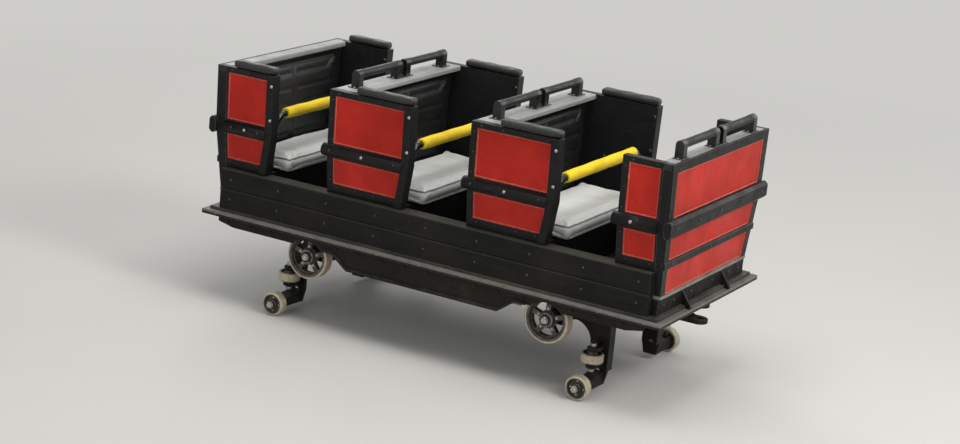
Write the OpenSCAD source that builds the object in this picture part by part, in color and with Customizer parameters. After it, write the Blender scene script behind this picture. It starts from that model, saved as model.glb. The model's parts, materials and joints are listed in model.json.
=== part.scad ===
/* [Body] */
// Length of the body over its two end walls
body_l = 2500; // [2440:10:2560]
// Width over the side wings at their tops
body_w = 1076; // [1060:2:1100]
// How far each side leans in from its top to the half-round band
lean_up = 13; // [4:1:20]
// How far each side leans in from the band to the foot of the end walls
lean_low = 48; // [36:1:56]
// Thickness of the side wings
wall_t = 45; // [40:1:48]
// Thickness of the end walls at their tops
end_t = 55; // [50:1:60]
// Height of the sill tops above the rail
sill_h = 462; // [450:2:474]
// Height of the side wings above the sills
wing_h = 519; // [505:1:530]
// Height of the end walls' lower edges above the rail
face_h = 333; // [325:1:341]
// How far each end wall leans in from the band to its foot
end_rake = 20; // [8:1:26]
// How far each sill stands out past the feet of the wings
sill_lip = 35; // [30:1:42]
// Thickness of the sills
sill_t = 85; // [82:1:90]
// Width and depth of the groove between a sill's two boards
sill_groove = 7; // [5:1:10]
// Chamfer along the edges of the boards
board_edge = 6; // [3:1:9]

/* [Wings] */
// Length of the rear wings from the body's rear end
rear_wing_l = 344; // [330:2:356]
// Length of the middle and fore wings at their tops
wing_l = 472; // [460:2:484]
// Length of the nose wings from the body's front end
nose_wing_l = 258; // [246:2:270]
// How far the front edges of the wings lean forward from foot to band
front_rake = 42; // [34:1:50]
// Width of the front uprights of a wing's frame
stile_w = 42; // [36:1:48]
// Width of the rear uprights of a wing's frame
back_stile_w = 32; // [26:1:40]
// Width of the wing frames' uprights beside the end walls
wall_stile_w = 8; // [6:1:12]
// How far the wings' front uprights stand out past their frames
stile_out = 14; // [10:1:18]
// Height of the top rail of a wing's frame
head_h = 28; // [24:1:32]
// Height of the lower rail of a wing's frame
foot_h = 46; // [40:1:52]
// Height of the flat zone behind the half-round band
band_zone = 72; // [66:1:76]
// Radius of the half-round band on the wings
band_r = 31; // [28:1:32]
// Depth of the band's centre behind the outer face
band_in = 9; // [7:1:11]
// How far the band runs past the rear edges of the wings
band_past = 22; // [16:1:26]
// Distance of the band's centre below the wing tops
band_drop = 303; // [296:1:310]
// Depth of the panels behind the frame's face
panel_in = 6; // [3:1:9]
// Thickness of the red panels
panel_t = 20; // [16:1:24]

/* [End walls] */
// Width of the uprights at the corners of an end wall
corner_w = 46; // [40:1:52]
// Height of the top rail of an end wall
end_head_h = 44; // [38:1:48]
// Height of the thick band across an end wall
end_band_h = 83; // [76:1:88]
// How far that band stands out
end_band_out = 26; // [20:1:27]
// How far that band runs past the corners
end_band_past = 22; // [14:1:26]
// Height of the panel under the thick band
end_mid_h = 122; // [114:1:128]
// Height of the thin band across an end wall
end_thin_h = 36; // [30:1:42]
// How far the thin band stands out
end_thin_out = 8; // [5:1:12]
// Height of the metal edge along the foot of an end wall
end_foot_h = 15; // [12:1:18]
// How far the metal edge stands out
end_foot_out = 3; // [2:0.5:5]

/* [Deck] */
// Height of the deck's underside above the rail
deck_h = 240; // [238:1:246]
// Thickness of the deck
deck_t = 16; // [12:1:18]
// Height of the trim rail round the deck
trim_h = 24; // [20:1:28]
// Width of the trim rail
trim_w = 36; // [34:1:42]
// How far the trim rail stands out past the deck
trim_out = 30; // [26:1:32]
// Thickness of the boards under the end walls
apron_t = 30; // [24:1:32]
// Distance of the apron gussets from the middle of the car
gusset_y = 215; // [190:5:240]
// Thickness of the apron gussets
gusset_t = 14; // [10:1:18]

/* [Seats] */
// Thickness of the seat cushions
cushion_t = 95; // [88:1:102]
// Gap between the cushions' ends and the lap bar pivots
cushion_gap = 8; // [6:1:12]
// How far the cushions reach past the feet of the wings
cushion_out = 82; // [70:2:90]
// Thickness of the seat backs
back_t = 78; // [70:1:84]
// Thickness of the back pads
pad_t = 42; // [36:1:48]
// Gap between the back pads and the shelves over them
pad_gap = 12; // [8:1:20]
// Depth of the shelves on the seat backs
shelf_d = 128; // [122:1:134]
// Thickness of the shelves and end caps
shelf_t = 28; // [24:1:32]
// Chamfer along the edges of the shelves and caps
shelf_edge = 5; // [3:1:7]
// Depth of the caps on the end walls
cap_d = 80; // [74:1:86]
// Thickness of the end walls' top rails in front of the caps
cap_rim = 13; // [10:1:15]
// Thickness of the boards of the seat boxes
bench_t = 18; // [15:1:21]
// Distance of the seat boxes' fronts behind the feet of the wings
bench_in = 20; // [12:1:30]
// Width of the arm pads
arm_w = 58; // [52:1:62]
// Height of the arm pads
arm_h = 40; // [34:1:46]
// Radius of the arm pads' upper edges
arm_round = 18; // [14:1:20]
// Length of the wing tops left bare behind the arm pads
arm_bare = 150; // [144:1:160]
// Bare length from the body's rear end to the rear arm pads
rear_arm_bare = 92; // [88:1:100]

/* [Lap bars] */
// Height of the lap bars' centres above the rail
lap_h = 763; // [750:1:776]
// Diameter of the lap bar tubes
lap_d = 34; // [30:1:34]
// Diameter of the lap bar pads
lap_pad_d = 58; // [54:1:64]
// Radius of the bends of the lap bars
lap_bend = 60; // [52:1:70]
// Width of the lap bars' eyes
eye_t = 18; // [14:1:20]
// Outer radius of the lap bars' eyes
eye_r = 28; // [25:1:29]
// Height of the pivots above the sills
pivot_h = 38; // [36:1:42]
// Distance of the pivots behind the front feet of the wings
pivot_in = 40; // [36:1:46]
// Angle from upright of the lap bars' arms at rest
lap_lean = 8; // [4:1:12]
// Diameter of the pivot pins
pivot_d = 25; // [22:1:28]
// Thickness of the pivot plates
plate_t = 10; // [8:1:12]
// Half the length of the pivot plates
plate_r = 34; // [30:1:36]

/* [Handles] */
// Length of a grab handle over its posts
handle_l = 396; // [384:2:404]
// Height of a grab handle
handle_h = 86; // [80:1:92]
// Diameter of the handle's tube
handle_d = 36; // [32:1:38]
// Gap between the two handles of a row
handle_gap = 40; // [34:2:52]
// Width of the handle's posts along the tube
post_w = 40; // [36:1:44]
// Depth of the handle's posts
post_d = 44; // [40:1:46]

/* [Running gear] */
// Diameter of the running wheels
wheel_d = 230; // [224:2:230]
// Width of the running wheels
wheel_w = 60; // [54:2:60]
// Gap between the running wheels and the side frames
wheel_gap = 6; // [5:0.5:8]
// Rear axle from the body's rear end
rear_axle_in = 590; // [575:5:600]
// Front axle from the body's front end
front_axle_in = 566; // [550:5:580]
// Diameter of the guide wheels
guide_d = 110; // [104:2:114]
// Width of the guide wheels
guide_w = 45; // [40:1:48]
// Diameter of the upstop wheels
upstop_d = 120; // [114:2:124]
// Width of the upstop wheels
upstop_w = 50; // [46:2:50]
// Diameter of the rail tube the wheels are set for
rail_d = 114; // [110:1:118]
// Gap between the rail tube and the guide and upstop wheels
rail_gap = 4; // [3:0.5:6]
// Distance of the guide and upstop wheels from the axle
carrier_off = 190; // [186:2:200]
// Diameter of the running wheels' stub axles
axle_d = 40; // [36:1:44]
// Diameter of the guide and upstop wheels' pins
small_axle_d = 30; // [26:1:34]
// Depth of the running wheels' rims under their treads
rim_t = 24; // [20:1:28]
// Depth of the guide and upstop wheels' rims under their treads
small_rim_t = 17; // [14:1:18]
// Width of the running wheels' spokes
spoke_w = 24; // [20:1:28]
// Thickness of the running wheels' spokes
spoke_t = 26; // [20:1:32]

/* [Frame] */
// Depth of the spine and of the cross members at the spine
spine_h = 80; // [74:1:86]
// Width of the spine
spine_w = 120; // [110:2:130]
// Distance of the spine's rear end from the body's rear end
spine_in = 60; // [50:2:70]
// Width of the cross members
cross_w = 50; // [44:1:56]
// Depth of the cross members at their outer ends
cross_end_h = 56; // [50:1:60]
// Distance of the outermost cross members from the body's ends
cross_in = 150; // [145:1:155]
// Distance of the other cross members from the axles
cross_off = 234; // [228:1:240]
// Depth of the axle beams
beam_h = 80; // [74:1:84]
// Width of the axle beams
beam_w = 90; // [84:2:96]
// Thickness of the carriers' side plates
carrier_t = 20; // [16:1:24]
// Half the width of the carriers' legs
leg_r = 50; // [46:1:54]
// Thickness of the lugs that hold the guide wheels
lug_t = 18; // [14:1:20]
// Thickness of the side frames
frame_t = 12; // [10:1:14]
// Depth of the side frames at their ends
frame_end_h = 46; // [40:1:52]
// Depth of the side frames between the wheels
frame_mid_h = 112; // [104:1:118]
// Width of the side frames' lower lips
lip_w = 14; // [10:1:18]
// Radius of the arches over the wheels
arch_r = 118; // [112:1:120]
// Distance of the brake fin's ends from the axles
fin_in = 340; // [320:5:360]
// Depth of the brake fin
fin_h = 190; // [170:5:200]
// Thickness of the brake fin
fin_t = 14; // [10:1:18]

/* [Couplings] */
// Diameter of the coupling pin holes
pin_bore_d = 40; // [36:1:44]
// Width of the drawbar
draw_w = 90; // [86:2:96]
// Depth of the drawbar
draw_h = 60; // [56:1:64]
// Distance of the rear pin hole behind the body
draw_out = 70; // [66:1:76]
// Gap between the drawbar's end and the front board of the rear seat box
draw_gap = 24; // [10:2:40]
// Thickness of the front coupling's two cheeks
cheek_t = 20; // [18:1:22]
// Distance of the front coupling's back from the body's front end
coup_in = 110; // [104:1:116]

/* [Hidden] */
$fn = 64;
fit = 0.05;
side_gap = 1;
eye_gap = 3;
eye_half = 16;
cap_t = 5;
nose_in = 5;
band_cut = 14;
thin_cut = 5;
gusset_in = 4;
fin_drop = 8;
fin_toe = 60;
fin_rise = 70;
end_run = 90;
belly_run = 90;
arch_land = 40;
hub_past = 4;
hub_t = 10;
spoke_root = 8;
guide_hub = 7.5;
web_gap = 14;
beam_gap = 18;
flange_w = 56;
lug_r = 28;
boss_r = 12;
collar_r = 6;
collar_t = 8;
band_lap = 4;
plate_cut = 12;
leg_cut = 16;
leg_drop = 26;
leg_taper = 40;
gusset_h = 20;

// the body's rear end, placed so that the whole car is centred on X
rear_reach = draw_out + draw_w / 2;
x0 = -(body_l + trim_out - rear_reach) / 2;
x1 = x0 + body_l;

// the three doorways share the length that the wings leave
door_l = (body_l - rear_wing_l - 2 * wing_l - nose_wing_l) / 3;
mid_at = rear_wing_l + door_l;
fore_at = mid_at + wing_l + door_l;

// heights over the floor that the upstop wheels stand on
zr = upstop_d + rail_gap + rail_d;
z_deck = zr + deck_h;
z_floor = z_deck + deck_t;
z_sill = zr + sill_h;
z_top = z_sill + wing_h;
z_face = zr + face_h;
z_band = z_top - band_drop;
z_cap = z_top - shelf_t;
z_spine = z_deck - spine_h;
z_beam = z_spine - beam_h;
z_axle = zr + wheel_d / 2;
z_guide = zr - rail_d / 2;
z_upstop = upstop_d / 2;
z_pivot = z_sill + pivot_h;
z_lap = zr + lap_h;
z_draw = z_floor;

// widths and side planes
sill_y1 = outer(z_sill) + sill_lip;
sill_y0 = sill_y1 - sill_t;
trim_y0 = sill_y1 + trim_out - trim_w;
wheel_y = trim_y0 - wheel_gap - wheel_w / 2;
guide_y = wheel_y - rail_d / 2 - rail_gap - guide_d / 2;
hub_in = wheel_y - wheel_w / 2 - hub_past / 2;
hub_out = wheel_y + wheel_w / 2 + hub_past / 2;
plate_y = outer(z_sill) - wall_t - plate_t;
lap_y = plate_y - eye_gap - eye_t / 2;
cap_y = lap_y - eye_t / 2 - side_gap;
cushion_y = cap_y - cap_t - cushion_gap;

// columns of ROWS: name, back face of the pads, front edge of the wings' tops
ROWS = [
    ["rear", end_t, rear_wing_l],
    ["mid", mid_at + back_t, mid_at + wing_l],
    ["fore", fore_at + back_t, fore_at + wing_l]
];

// columns of WINGS: rear edge, front edge, front edge leans, widths of rear and front uprights
WINGS = [
    [x0 + end_t, x0 + rear_wing_l, true, wall_stile_w, stile_w],
    [x0 + mid_at, x0 + mid_at + wing_l, true, back_stile_w, stile_w],
    [x0 + fore_at, x0 + fore_at + wing_l, true, back_stile_w, stile_w],
    [x1 - nose_wing_l, x1 - end_t, false, back_stile_w, wall_stile_w]
];

// columns of CORNERS: name, axle's place, sense of X to the nearer end, sense of Y
CORNERS = [
    ["rl", x0 + rear_axle_in, -1, 1],
    ["rr", x0 + rear_axle_in, -1, -1],
    ["fl", x1 - front_axle_in, 1, 1],
    ["fr", x1 - front_axle_in, 1, -1]
];

// half width over the outer faces at height z, with a kink at the band
function outer(z) = z >= z_band
    ? body_w / 2 - lean_up * (z_top - z) / (z_top - z_band)
    : body_w / 2 - lean_up - lean_low * (z_band - z) / (z_band - z_face);
// distance that an end face leans in at height z
function lean_in(z) = z >= z_band ? 0 : end_rake * (z_band - z) / (z_band - z_face);
// front edge at height z of a wing whose top ends at x
function front_edge(x, z) = z >= z_band ? x : x - front_rake * (z_band - z) / (z_band - z_sill);
// outline points of the side at the heights zs, d behind the outer face
function skin(zs, d) = [for (z = zs) [outer(z) - d, z]];
// the points of a list from its last to its first
function turned(p) = [for (i = [len(p) - 1:-1:0]) p[i]];
// the points of a list with their first value negated
function flipped(p) = [for (q = p) [-q[0], q[1]]];
// closed outline of a full width slab between the heights zs, m inside its sides
function across(zs, m) = concat(skin(zs, m), turned(flipped(skin(zs, m))));
// front foot of the wing of a row, from the body's rear end
function foot_x(r) = r[2] - front_rake;
// length of the drawbar inside the body
draw_in = foot_x(ROWS[0]) - bench_in - bench_t - draw_gap;

// a child on the left and its mirror on the right
module both() {
    children();
    mirror([0, 1, 0]) children();
}

// a child drawn from the body's rear end, and its mirror at the front end
module both_ends() {
    translate([x0, 0, 0]) children();
    translate([x1, 0, 0]) mirror([1, 0, 0]) children();
}

// box from its lowest to its highest corner
module block(lo, hi) {
    translate(lo) cube(hi - lo);
}

// outline in Y and Z, drawn out along X from xa to xb
module along_x(xa, xb, pts) {
    translate([xa, 0, 0]) rotate([90, 0, 90]) linear_extrude(xb - xa) polygon(pts);
}

// outline in X and Z, drawn out along Y from ya to yb
module along_y(ya, yb, pts) {
    translate([0, yb, 0]) rotate([90, 0, 0]) linear_extrude(yb - ya) polygon(pts);
}

// cylinder along Y from ya to yb
module rod_y(x, ya, yb, z, r) {
    translate([x, ya, z]) rotate([-90, 0, 0]) cylinder(h = yb - ya, r = r);
}

// rectangle's outline with its corners cut by c
function cut_box(a, b, c) = [
    [a[0] + c, a[1]], [b[0] - c, a[1]], [b[0], a[1] + c], [b[0], b[1] - c],
    [b[0] - c, b[1]], [a[0] + c, b[1]], [a[0], b[1] - c], [a[0], a[1] + c]
];

// leaning slab of a side between the depths da and db behind its outer face
module lean_slab(xa, xb, zs, da, db) {
    along_x(xa, xb, concat(skin(zs, db), turned(skin(zs, da))));
}

// side view of a wing between the heights zs, ma inside its rear and mb inside its front edge
module wing_view(xa, xb, raked, zs, ma, mb) {
    edge = [for (z = zs) [(raked ? front_edge(xb, z) : xb) - mb, z]];
    back = [for (z = zs) [xa + ma, z]];
    along_y(0, body_w, concat(back, turned(edge)));
}

// lower and upper edges of a wing's two panels
z_low = [z_sill + foot_h, z_band - band_zone / 2];
z_up = [z_band + band_zone / 2, z_top - head_h];

// side view of the front upright of a wing whose top ends at xb
module stile_view(xb, zs) {
    edge = [for (z = zs) [front_edge(xb, z), z]];
    along_y(0, body_w, concat([for (q = edge) [q[0] - stile_w, q[1]]], turned(edge)));
}

// frame of one wing on the left side, its band from band_a behind it to band_b short of its front
module wing_frame(w, band_a, band_b) {
    zs = [z_sill, z_band, z_top];
    difference() {
        intersection() {
            lean_slab(w[0], w[1], zs, 0, wall_t);
            wing_view(w[0], w[1], w[2], zs, 0, 0);
        }
        for (s = [z_low, z_up])
            intersection() {
                lean_slab(w[0], w[1], s, -1, panel_in + panel_t);
                wing_view(w[0], w[1], w[2], s, w[3], w[4]);
            }
    }
    if (w[2])
        intersection() {
            lean_slab(w[0], w[1], zs, -stile_out, panel_in);
            stile_view(w[1], zs);
        }
    translate([w[0] - band_a, outer(z_band) - band_in, z_band])
        rotate([0, 90, 0]) cylinder(h = w[1] - band_b - w[0] + band_a, r = band_r);
}

// wings of the row whose entry in WINGS is i
module row_wings(i) {
    color([0.05, 0.05, 0.055])
    both() wing_frame(WINGS[i], i == 0 ? 0 : band_past, stile_w - band_lap);
}

module nose_wings() {
    color([0.05, 0.05, 0.055])
    both() wing_frame(WINGS[3], band_past, 0);
}

module wing_panels() {
    color([0.7, 0.1, 0.07])
    both() for (w = WINGS, s = [z_low, z_up])
        intersection() {
            lean_slab(w[0], w[1], s, panel_in, panel_in + panel_t);
            wing_view(w[0], w[1], w[2], s, w[3], w[4]);
        }
}

// lower and upper edges of the three strips of an end wall that hold panels
z_e2 = z_band + end_band_h / 2;
z_e3 = z_band - end_band_h / 2;
z_e4 = z_e3 - end_mid_h;
z_e5 = z_e4 - end_thin_h;
z_e6 = z_face + end_foot_h;
STRIPS = [[z_e2, z_top - end_head_h], [z_e4, z_e3], [z_e6, z_e5]];

// strip of an end wall between the depths da and db behind its outer face, m inside its sides
module end_slab(s, da, db, m) {
    intersection() {
        along_x(-end_t, 2 * end_t, across(s, m));
        along_y(-body_w, body_w, [
            [lean_in(s[0]) + da, s[0]], [lean_in(s[0]) + db, s[0]],
            [lean_in(s[1]) + db, s[1]], [lean_in(s[1]) + da, s[1]]
        ]);
    }
}

// one end wall with its outer face towards -X
module end_wall() {
    half = outer(z_band) + end_band_past;
    thin = outer(z_e4);
    foot = outer(z_face) + end_foot_out;
    za = lean_in(z_e5) - end_thin_out;
    difference() {
        union() {
            intersection() {
                along_x(-1, end_t, across([z_e6, z_band, z_top], 0));
                along_y(-body_w, body_w, [
                    [lean_in(z_e6), z_e6], [end_t, z_e6], [end_t, z_cap], [cap_rim, z_cap],
                    [cap_rim, z_top], [0, z_top], [0, z_band]
                ]);
            }
            along_y(-half, half, cut_box([-end_band_out, z_e3], [end_t / 4, z_e2], band_cut));
            along_y(-thin, thin, cut_box([za, z_e5], [za + end_t / 3, z_e4], thin_cut));
            block([lean_in(z_face) - end_foot_out, -foot, z_face], [end_t, foot, z_e6]);
        }
        for (s = STRIPS) end_slab(s, -1, panel_in + panel_t, corner_w);
    }
}

module front_wall() {
    color([0.05, 0.05, 0.055])
    translate([x1, 0, 0]) mirror([1, 0, 0]) end_wall();
}

module rear_wall() {
    color([0.05, 0.05, 0.055])
    translate([x0, 0, 0]) end_wall();
}

module end_panels() {
    color([0.7, 0.1, 0.07])
    both_ends() for (s = STRIPS) end_slab(s, panel_in, panel_in + panel_t, corner_w);
}

// cap behind an end wall's top rail: full width over the wall, narrower between the wings
module end_caps() {
    c = shelf_edge;
    color([0.5, 0.5, 0.5])
    both_ends() {
        along_x(cap_rim, end_t, across([z_cap, z_top], 0));
        intersection() {
            along_x(end_t, cap_d, across([z_cap, z_top], wall_t));
            along_y(-body_w, body_w, [
                [end_t, z_cap], [cap_d - c, z_cap], [cap_d, z_cap + c], [cap_d, z_top - c],
                [cap_d - c, z_top], [end_t, z_top]
            ]);
        }
    }
}

module floor_deck() {
    color([0.12, 0.12, 0.12])
    block([x0, -sill_y1, z_deck], [x1, sill_y1, z_floor]);
}

module trim_rail() {
    color([0.6, 0.6, 0.6])
    difference() {
        block([x0 - trim_out, -sill_y1 - trim_out, z_deck - trim_h],
              [x1 + trim_out, sill_y1 + trim_out, z_deck]);
        block([x0 - trim_out + trim_w, -trim_y0, z_deck - trim_h - 1],
              [x1 + trim_out - trim_w, trim_y0, z_deck + 1]);
    }
}

// sill of two boards with a groove between them
module sills() {
    c = board_edge;
    g = sill_groove;
    zm = (z_floor + z_sill) / 2;
    color([0.06, 0.06, 0.065])
    both() along_x(x0 + end_t, x1 - end_t, [
        [sill_y0, z_floor], [sill_y1, z_floor],
        [sill_y1, zm - g], [sill_y1 - g, zm], [sill_y1, zm + g],
        [sill_y1, z_sill - c], [sill_y1 - c, z_sill], [sill_y0, z_sill]
    ]);
}

// boards under the end walls, with gussets down to the trim rail
module end_aprons() {
    xa = end_t - apron_t;
    half = (sill_y0 + sill_y1) / 2;
    color([0.06, 0.06, 0.065])
    difference() {
        both_ends() {
            block([xa, -half, z_floor], [end_t, half, z_face]);
            both() along_y(gusset_y, gusset_y + gusset_t, [
                [xa, z_floor], [0, z_floor], [0, z_deck], [gusset_in - trim_out, z_deck],
                [gusset_in - trim_out, z_floor], [xa, z_face - 2 * gusset_in]
            ]);
        }
        block([x0 - 1, -draw_w / 2, z_floor - 1], [x0 + end_t + 1, draw_w / 2, z_draw + draw_h]);
    }
}

module spine_frame() {
    color([0.07, 0.07, 0.075])
    block([x0 + spine_in, -spine_w / 2, z_spine], [x1 - coup_in, spine_w / 2, z_deck]);
}

// cross members run from the spine to the side frames, clear of the wheels
xr = x0 + rear_axle_in;
xf = x1 - front_axle_in;
CROSS = [
    x0 + cross_in, xr - cross_off, xr + cross_off, (xr + xf) / 2,
    xf - cross_off, xf + cross_off, x1 - cross_in
];

module cross_members() {
    color([0.07, 0.07, 0.075])
    both() for (x = CROSS)
        along_x(x - cross_w / 2, x + cross_w / 2, [
            [spine_w / 2, z_spine], [trim_y0 - cross_w, z_deck - cross_end_h],
            [trim_y0, z_deck - cross_end_h], [trim_y0, z_deck], [spine_w / 2, z_deck]
        ]);
}

// side frames with arches over the wheels, fish-bellied between them, and their lower lips
module side_frames() {
    za = z_deck - trim_h;
    zb = za - frame_end_h;
    zc = za - frame_mid_h;
    xa = x0 + spine_in;
    xb = x1 - spine_in;
    ra = xr + arch_r + arch_land;
    rb = ra + belly_run;
    fa = xf - arch_r - arch_land;
    fb = fa - belly_run;
    toe = frame_end_h * 0.6;
    land = arch_land * 1.5;
    m = frame_t / 4;
    t = frame_t;
    color([0.06, 0.06, 0.065])
    both() difference() {
        union() {
            along_y(trim_y0, trim_y0 + t, [
                [xa, za], [xa, za - toe], [xa + end_run, zb], [ra, zb], [rb, zc],
                [fb, zc], [fa, zb], [xb - end_run, zb], [xb, za - toe], [xb, za]
            ]);
            along_y(trim_y0 + t, trim_y0 + t + lip_w, [
                [ra - land, zb], [ra, zb], [rb, zc], [fb, zc], [fa, zb], [fa + land, zb],
                [fa + land, zb + t], [fa - m, zb + t], [fb - m, zc + t], [rb + m, zc + t],
                [ra + m, zb + t], [ra - land, zb + t]
            ]);
        }
        for (x = [xr, xf])
            rod_y(x, trim_y0 - 1, trim_y0 + t + lip_w + 1, z_axle - 30, arch_r);
    }
}

// side plate of a wheel carrier in X and Z, drawn for the end towards +X
module carrier_plate(ya, yb) {
    off = carrier_off;
    inner_r = off - leg_r - beam_w / 2;
    translate([0, yb, 0]) rotate([90, 0, 0]) linear_extrude(yb - ya) difference() {
        polygon([
            [-beam_w / 2, z_beam], [-beam_w / 2, z_spine], [off + leg_r - plate_cut, z_spine],
            [off + leg_r, z_spine - plate_cut], [off + leg_r, z_upstop + leg_taper],
            [off + leg_r - leg_cut, z_upstop - leg_drop], [off - leg_r + leg_cut, z_upstop - leg_drop],
            [off - leg_r, z_upstop + leg_taper], [off - leg_r, z_beam - inner_r],
            [beam_w / 2, z_beam - inner_r]
        ]);
        translate([beam_w / 2, z_beam - inner_r]) circle(inner_r);
        translate([off, (z_beam + z_spine) / 2]) circle(leg_r / 2);
        translate([off, (z_guide - guide_d / 2 + z_upstop) / 2]) circle(leg_r / 3);
    }
}

// plate that holds one end of a guide wheel's pin
module guide_lug(x, ya, z) {
    block([x - lug_r, ya, z], [x + lug_r, guide_y, z + lug_t]);
    translate([x, guide_y, z]) cylinder(h = lug_t, r = lug_r);
}

// beam, stub axles and wheel carriers of one axle, drawn for the end towards +X
module axle_set() {
    off = carrier_off;
    hub_h = guide_w + 2 * guide_hub;
    lug_a = z_guide + hub_h / 2 + side_gap;
    lug_b = z_guide - hub_h / 2 - side_gap - lug_t;
    web_y = guide_y - guide_d / 2 - web_gap;
    up_in = wheel_y - upstop_w / 2 - hub_past;
    up_out = wheel_y + upstop_w / 2 + hub_past;
    arm_in = up_in - boss_r;
    beam_y = hub_in - beam_gap;
    block([-beam_w / 2, -beam_y, z_beam], [beam_w / 2, beam_y, z_spine]);
    both() {
        rod_y(0, beam_y - 1, hub_in - side_gap, z_axle, axle_d / 2 + boss_r);
        rod_y(0, hub_in - 2, hub_out + 2, z_axle, axle_d / 2);
        rod_y(0, hub_out + side_gap, hub_out + side_gap + collar_t, z_axle, axle_d / 2 + collar_r);
        carrier_plate(web_y - carrier_t, web_y);
        block([off + leg_r - plate_cut, web_y - flange_w, z_upstop + leg_taper],
              [off + leg_r, web_y, z_spine - plate_cut]);
        guide_lug(off, web_y - 1, lug_a);
        guide_lug(off, web_y - 1, lug_b);
        along_x(off - plate_cut / 2, off + plate_cut / 2, [
            [web_y - 1, lug_a + lug_t], [guide_y - gusset_h, lug_a + lug_t],
            [web_y - 1, lug_a + lug_t + 2 * gusset_h]
        ]);
        translate([off, guide_y, lug_b - collar_t])
            cylinder(h = lug_a + lug_t + 2 * collar_t - lug_b, r = small_axle_d / 2);
        along_x(off - leg_r + leg_cut, off + leg_r - leg_cut, [
            [web_y - carrier_t, z_upstop - leg_drop], [arm_in, z_upstop - gusset_h],
            [arm_in, z_upstop + gusset_h], [web_y, z_upstop + leg_drop + 8],
            [web_y - carrier_t, z_upstop + leg_drop + 8]
        ]);
        rod_y(off, arm_in - 1, up_in - side_gap, z_upstop, small_axle_d / 2 + boss_r);
        rod_y(off, up_in - 2, up_out + 2, z_upstop, small_axle_d / 2);
        rod_y(off, up_out + side_gap, up_out + side_gap + collar_t, z_upstop,
              small_axle_d / 2 + collar_r);
    }
}

module front_axle() {
    color([0.08, 0.08, 0.085])
    translate([xf, 0, 0]) axle_set();
}

module rear_axle() {
    color([0.08, 0.08, 0.085])
    translate([xr, 0, 0]) mirror([1, 0, 0]) axle_set();
}

// wheel round Z: r tread radius, w tread width, hw hub width, hr hub radius, br bore radius
module wheel_solid(r, w, hw, hr, br, web, rim) {
    difference() {
        rotate_extrude($fn = 96) polygon([
            [0, -hw / 2], [hr - 3, -hw / 2], [hr, -hw / 2 + 3], [hr + 4, -web / 2],
            [r - rim - 4, -web / 2], [r - rim, -w / 2 + 3], [r - rim + 3, -w / 2],
            [r - 5, -w / 2], [r, -w / 2 + 5], [r, w / 2 - 5], [r - 5, w / 2],
            [r - rim + 3, w / 2], [r - rim, w / 2 - 3], [r - rim - 4, web / 2],
            [hr + 4, web / 2], [hr, hw / 2 - 3], [hr - 3, hw / 2], [0, hw / 2]
        ]);
        cylinder(h = hw + 2, r = br, center = true);
    }
}

// running wheel of one corner, open between its five spokes
module running_wheel(c) {
    hr = axle_d / 2 + hub_t + 6;
    ra = hr + spoke_root;
    rb = wheel_d / 2 - rim_t - spoke_root;
    color([0.55, 0.5, 0.42])
    translate([c[1], c[3] * wheel_y, z_axle]) rotate([90, 0, 0]) difference() {
        wheel_solid(wheel_d / 2, wheel_w, wheel_w + hub_past, hr, axle_d / 2 + fit, spoke_t, rim_t);
        linear_extrude(wheel_w, center = true) difference() {
            circle(rb);
            circle(ra);
            for (i = [0:4]) rotate(90 + i * 72)
                translate([0, -spoke_w / 2]) square([wheel_d / 2, spoke_w]);
        }
    }
}

module guide_wheel(c) {
    color([0.5, 0.46, 0.4])
    translate([c[1] + c[2] * carrier_off, c[3] * guide_y, z_guide])
        wheel_solid(guide_d / 2, guide_w, guide_w + 2 * guide_hub, small_axle_d / 2 + hub_t,
                    small_axle_d / 2 + fit, guide_w * 0.45, small_rim_t);
}

module upstop_wheel(c) {
    color([0.5, 0.46, 0.4])
    translate([c[1] + c[2] * carrier_off, c[3] * wheel_y, z_upstop]) rotate([90, 0, 0])
        wheel_solid(upstop_d / 2, upstop_w, upstop_w + 2 * hub_past, small_axle_d / 2 + hub_t,
                    small_axle_d / 2 + fit, upstop_w * 0.45, small_rim_t);
}

module seat_backs() {
    color([0.07, 0.07, 0.075])
    for (x = [mid_at, fore_at]) {
        side = concat(
            [[sill_y0, z_floor], [sill_y0, z_sill]],
            skin([z_sill, z_band, z_cap], wall_t)
        );
        along_x(x0 + x, x0 + x + back_t, concat(side, turned(flipped(side))));
    }
}

module shelves() {
    c = shelf_edge;
    color([0.62, 0.62, 0.62])
    for (x = [x0 + mid_at, x0 + fore_at])
        intersection() {
            along_x(x, x + shelf_d, across([z_cap, z_top], wall_t));
            along_y(-body_w, body_w, [
                [x, z_cap], [x + shelf_d - c, z_cap], [x + shelf_d, z_cap + c],
                [x + shelf_d, z_top - c], [x + shelf_d - c, z_top], [x + c, z_top], [x, z_top - c]
            ]);
        }
}

module benches() {
    color([0.1, 0.1, 0.1])
    for (r = ROWS) translate([x0, 0, 0]) difference() {
        xb = foot_x(r) - bench_in;
        block([r[1], -sill_y0, z_floor], [xb, sill_y0, z_sill]);
        block([r[1] - 1, -sill_y0 + bench_t, z_floor - 1],
              [xb - bench_t, sill_y0 - bench_t, z_sill - bench_t]);
    }
}

module seat_cushions() {
    rr = cushion_t / 2;
    color([0.8, 0.8, 0.78])
    for (r = ROWS) translate([x0, 0, 0]) {
        xb = foot_x(r) + cushion_out - rr;
        union() {
            block([r[1] + pad_t, -cushion_y, z_sill], [xb, cushion_y, z_sill + cushion_t]);
            rod_y(xb, -cushion_y, cushion_y, z_sill + rr, rr);
        }
    }
}

module back_pads() {
    rr = pad_t / 2;
    zt = z_cap - pad_gap;
    color([0.06, 0.06, 0.06])
    for (r = ROWS) translate([x0, 0, 0]) union() {
        block([r[1], -cushion_y, z_sill], [r[1] + pad_t, cushion_y, zt - rr]);
        rod_y(r[1] + rr, -cushion_y, cushion_y, zt - rr, rr);
    }
}

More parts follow.
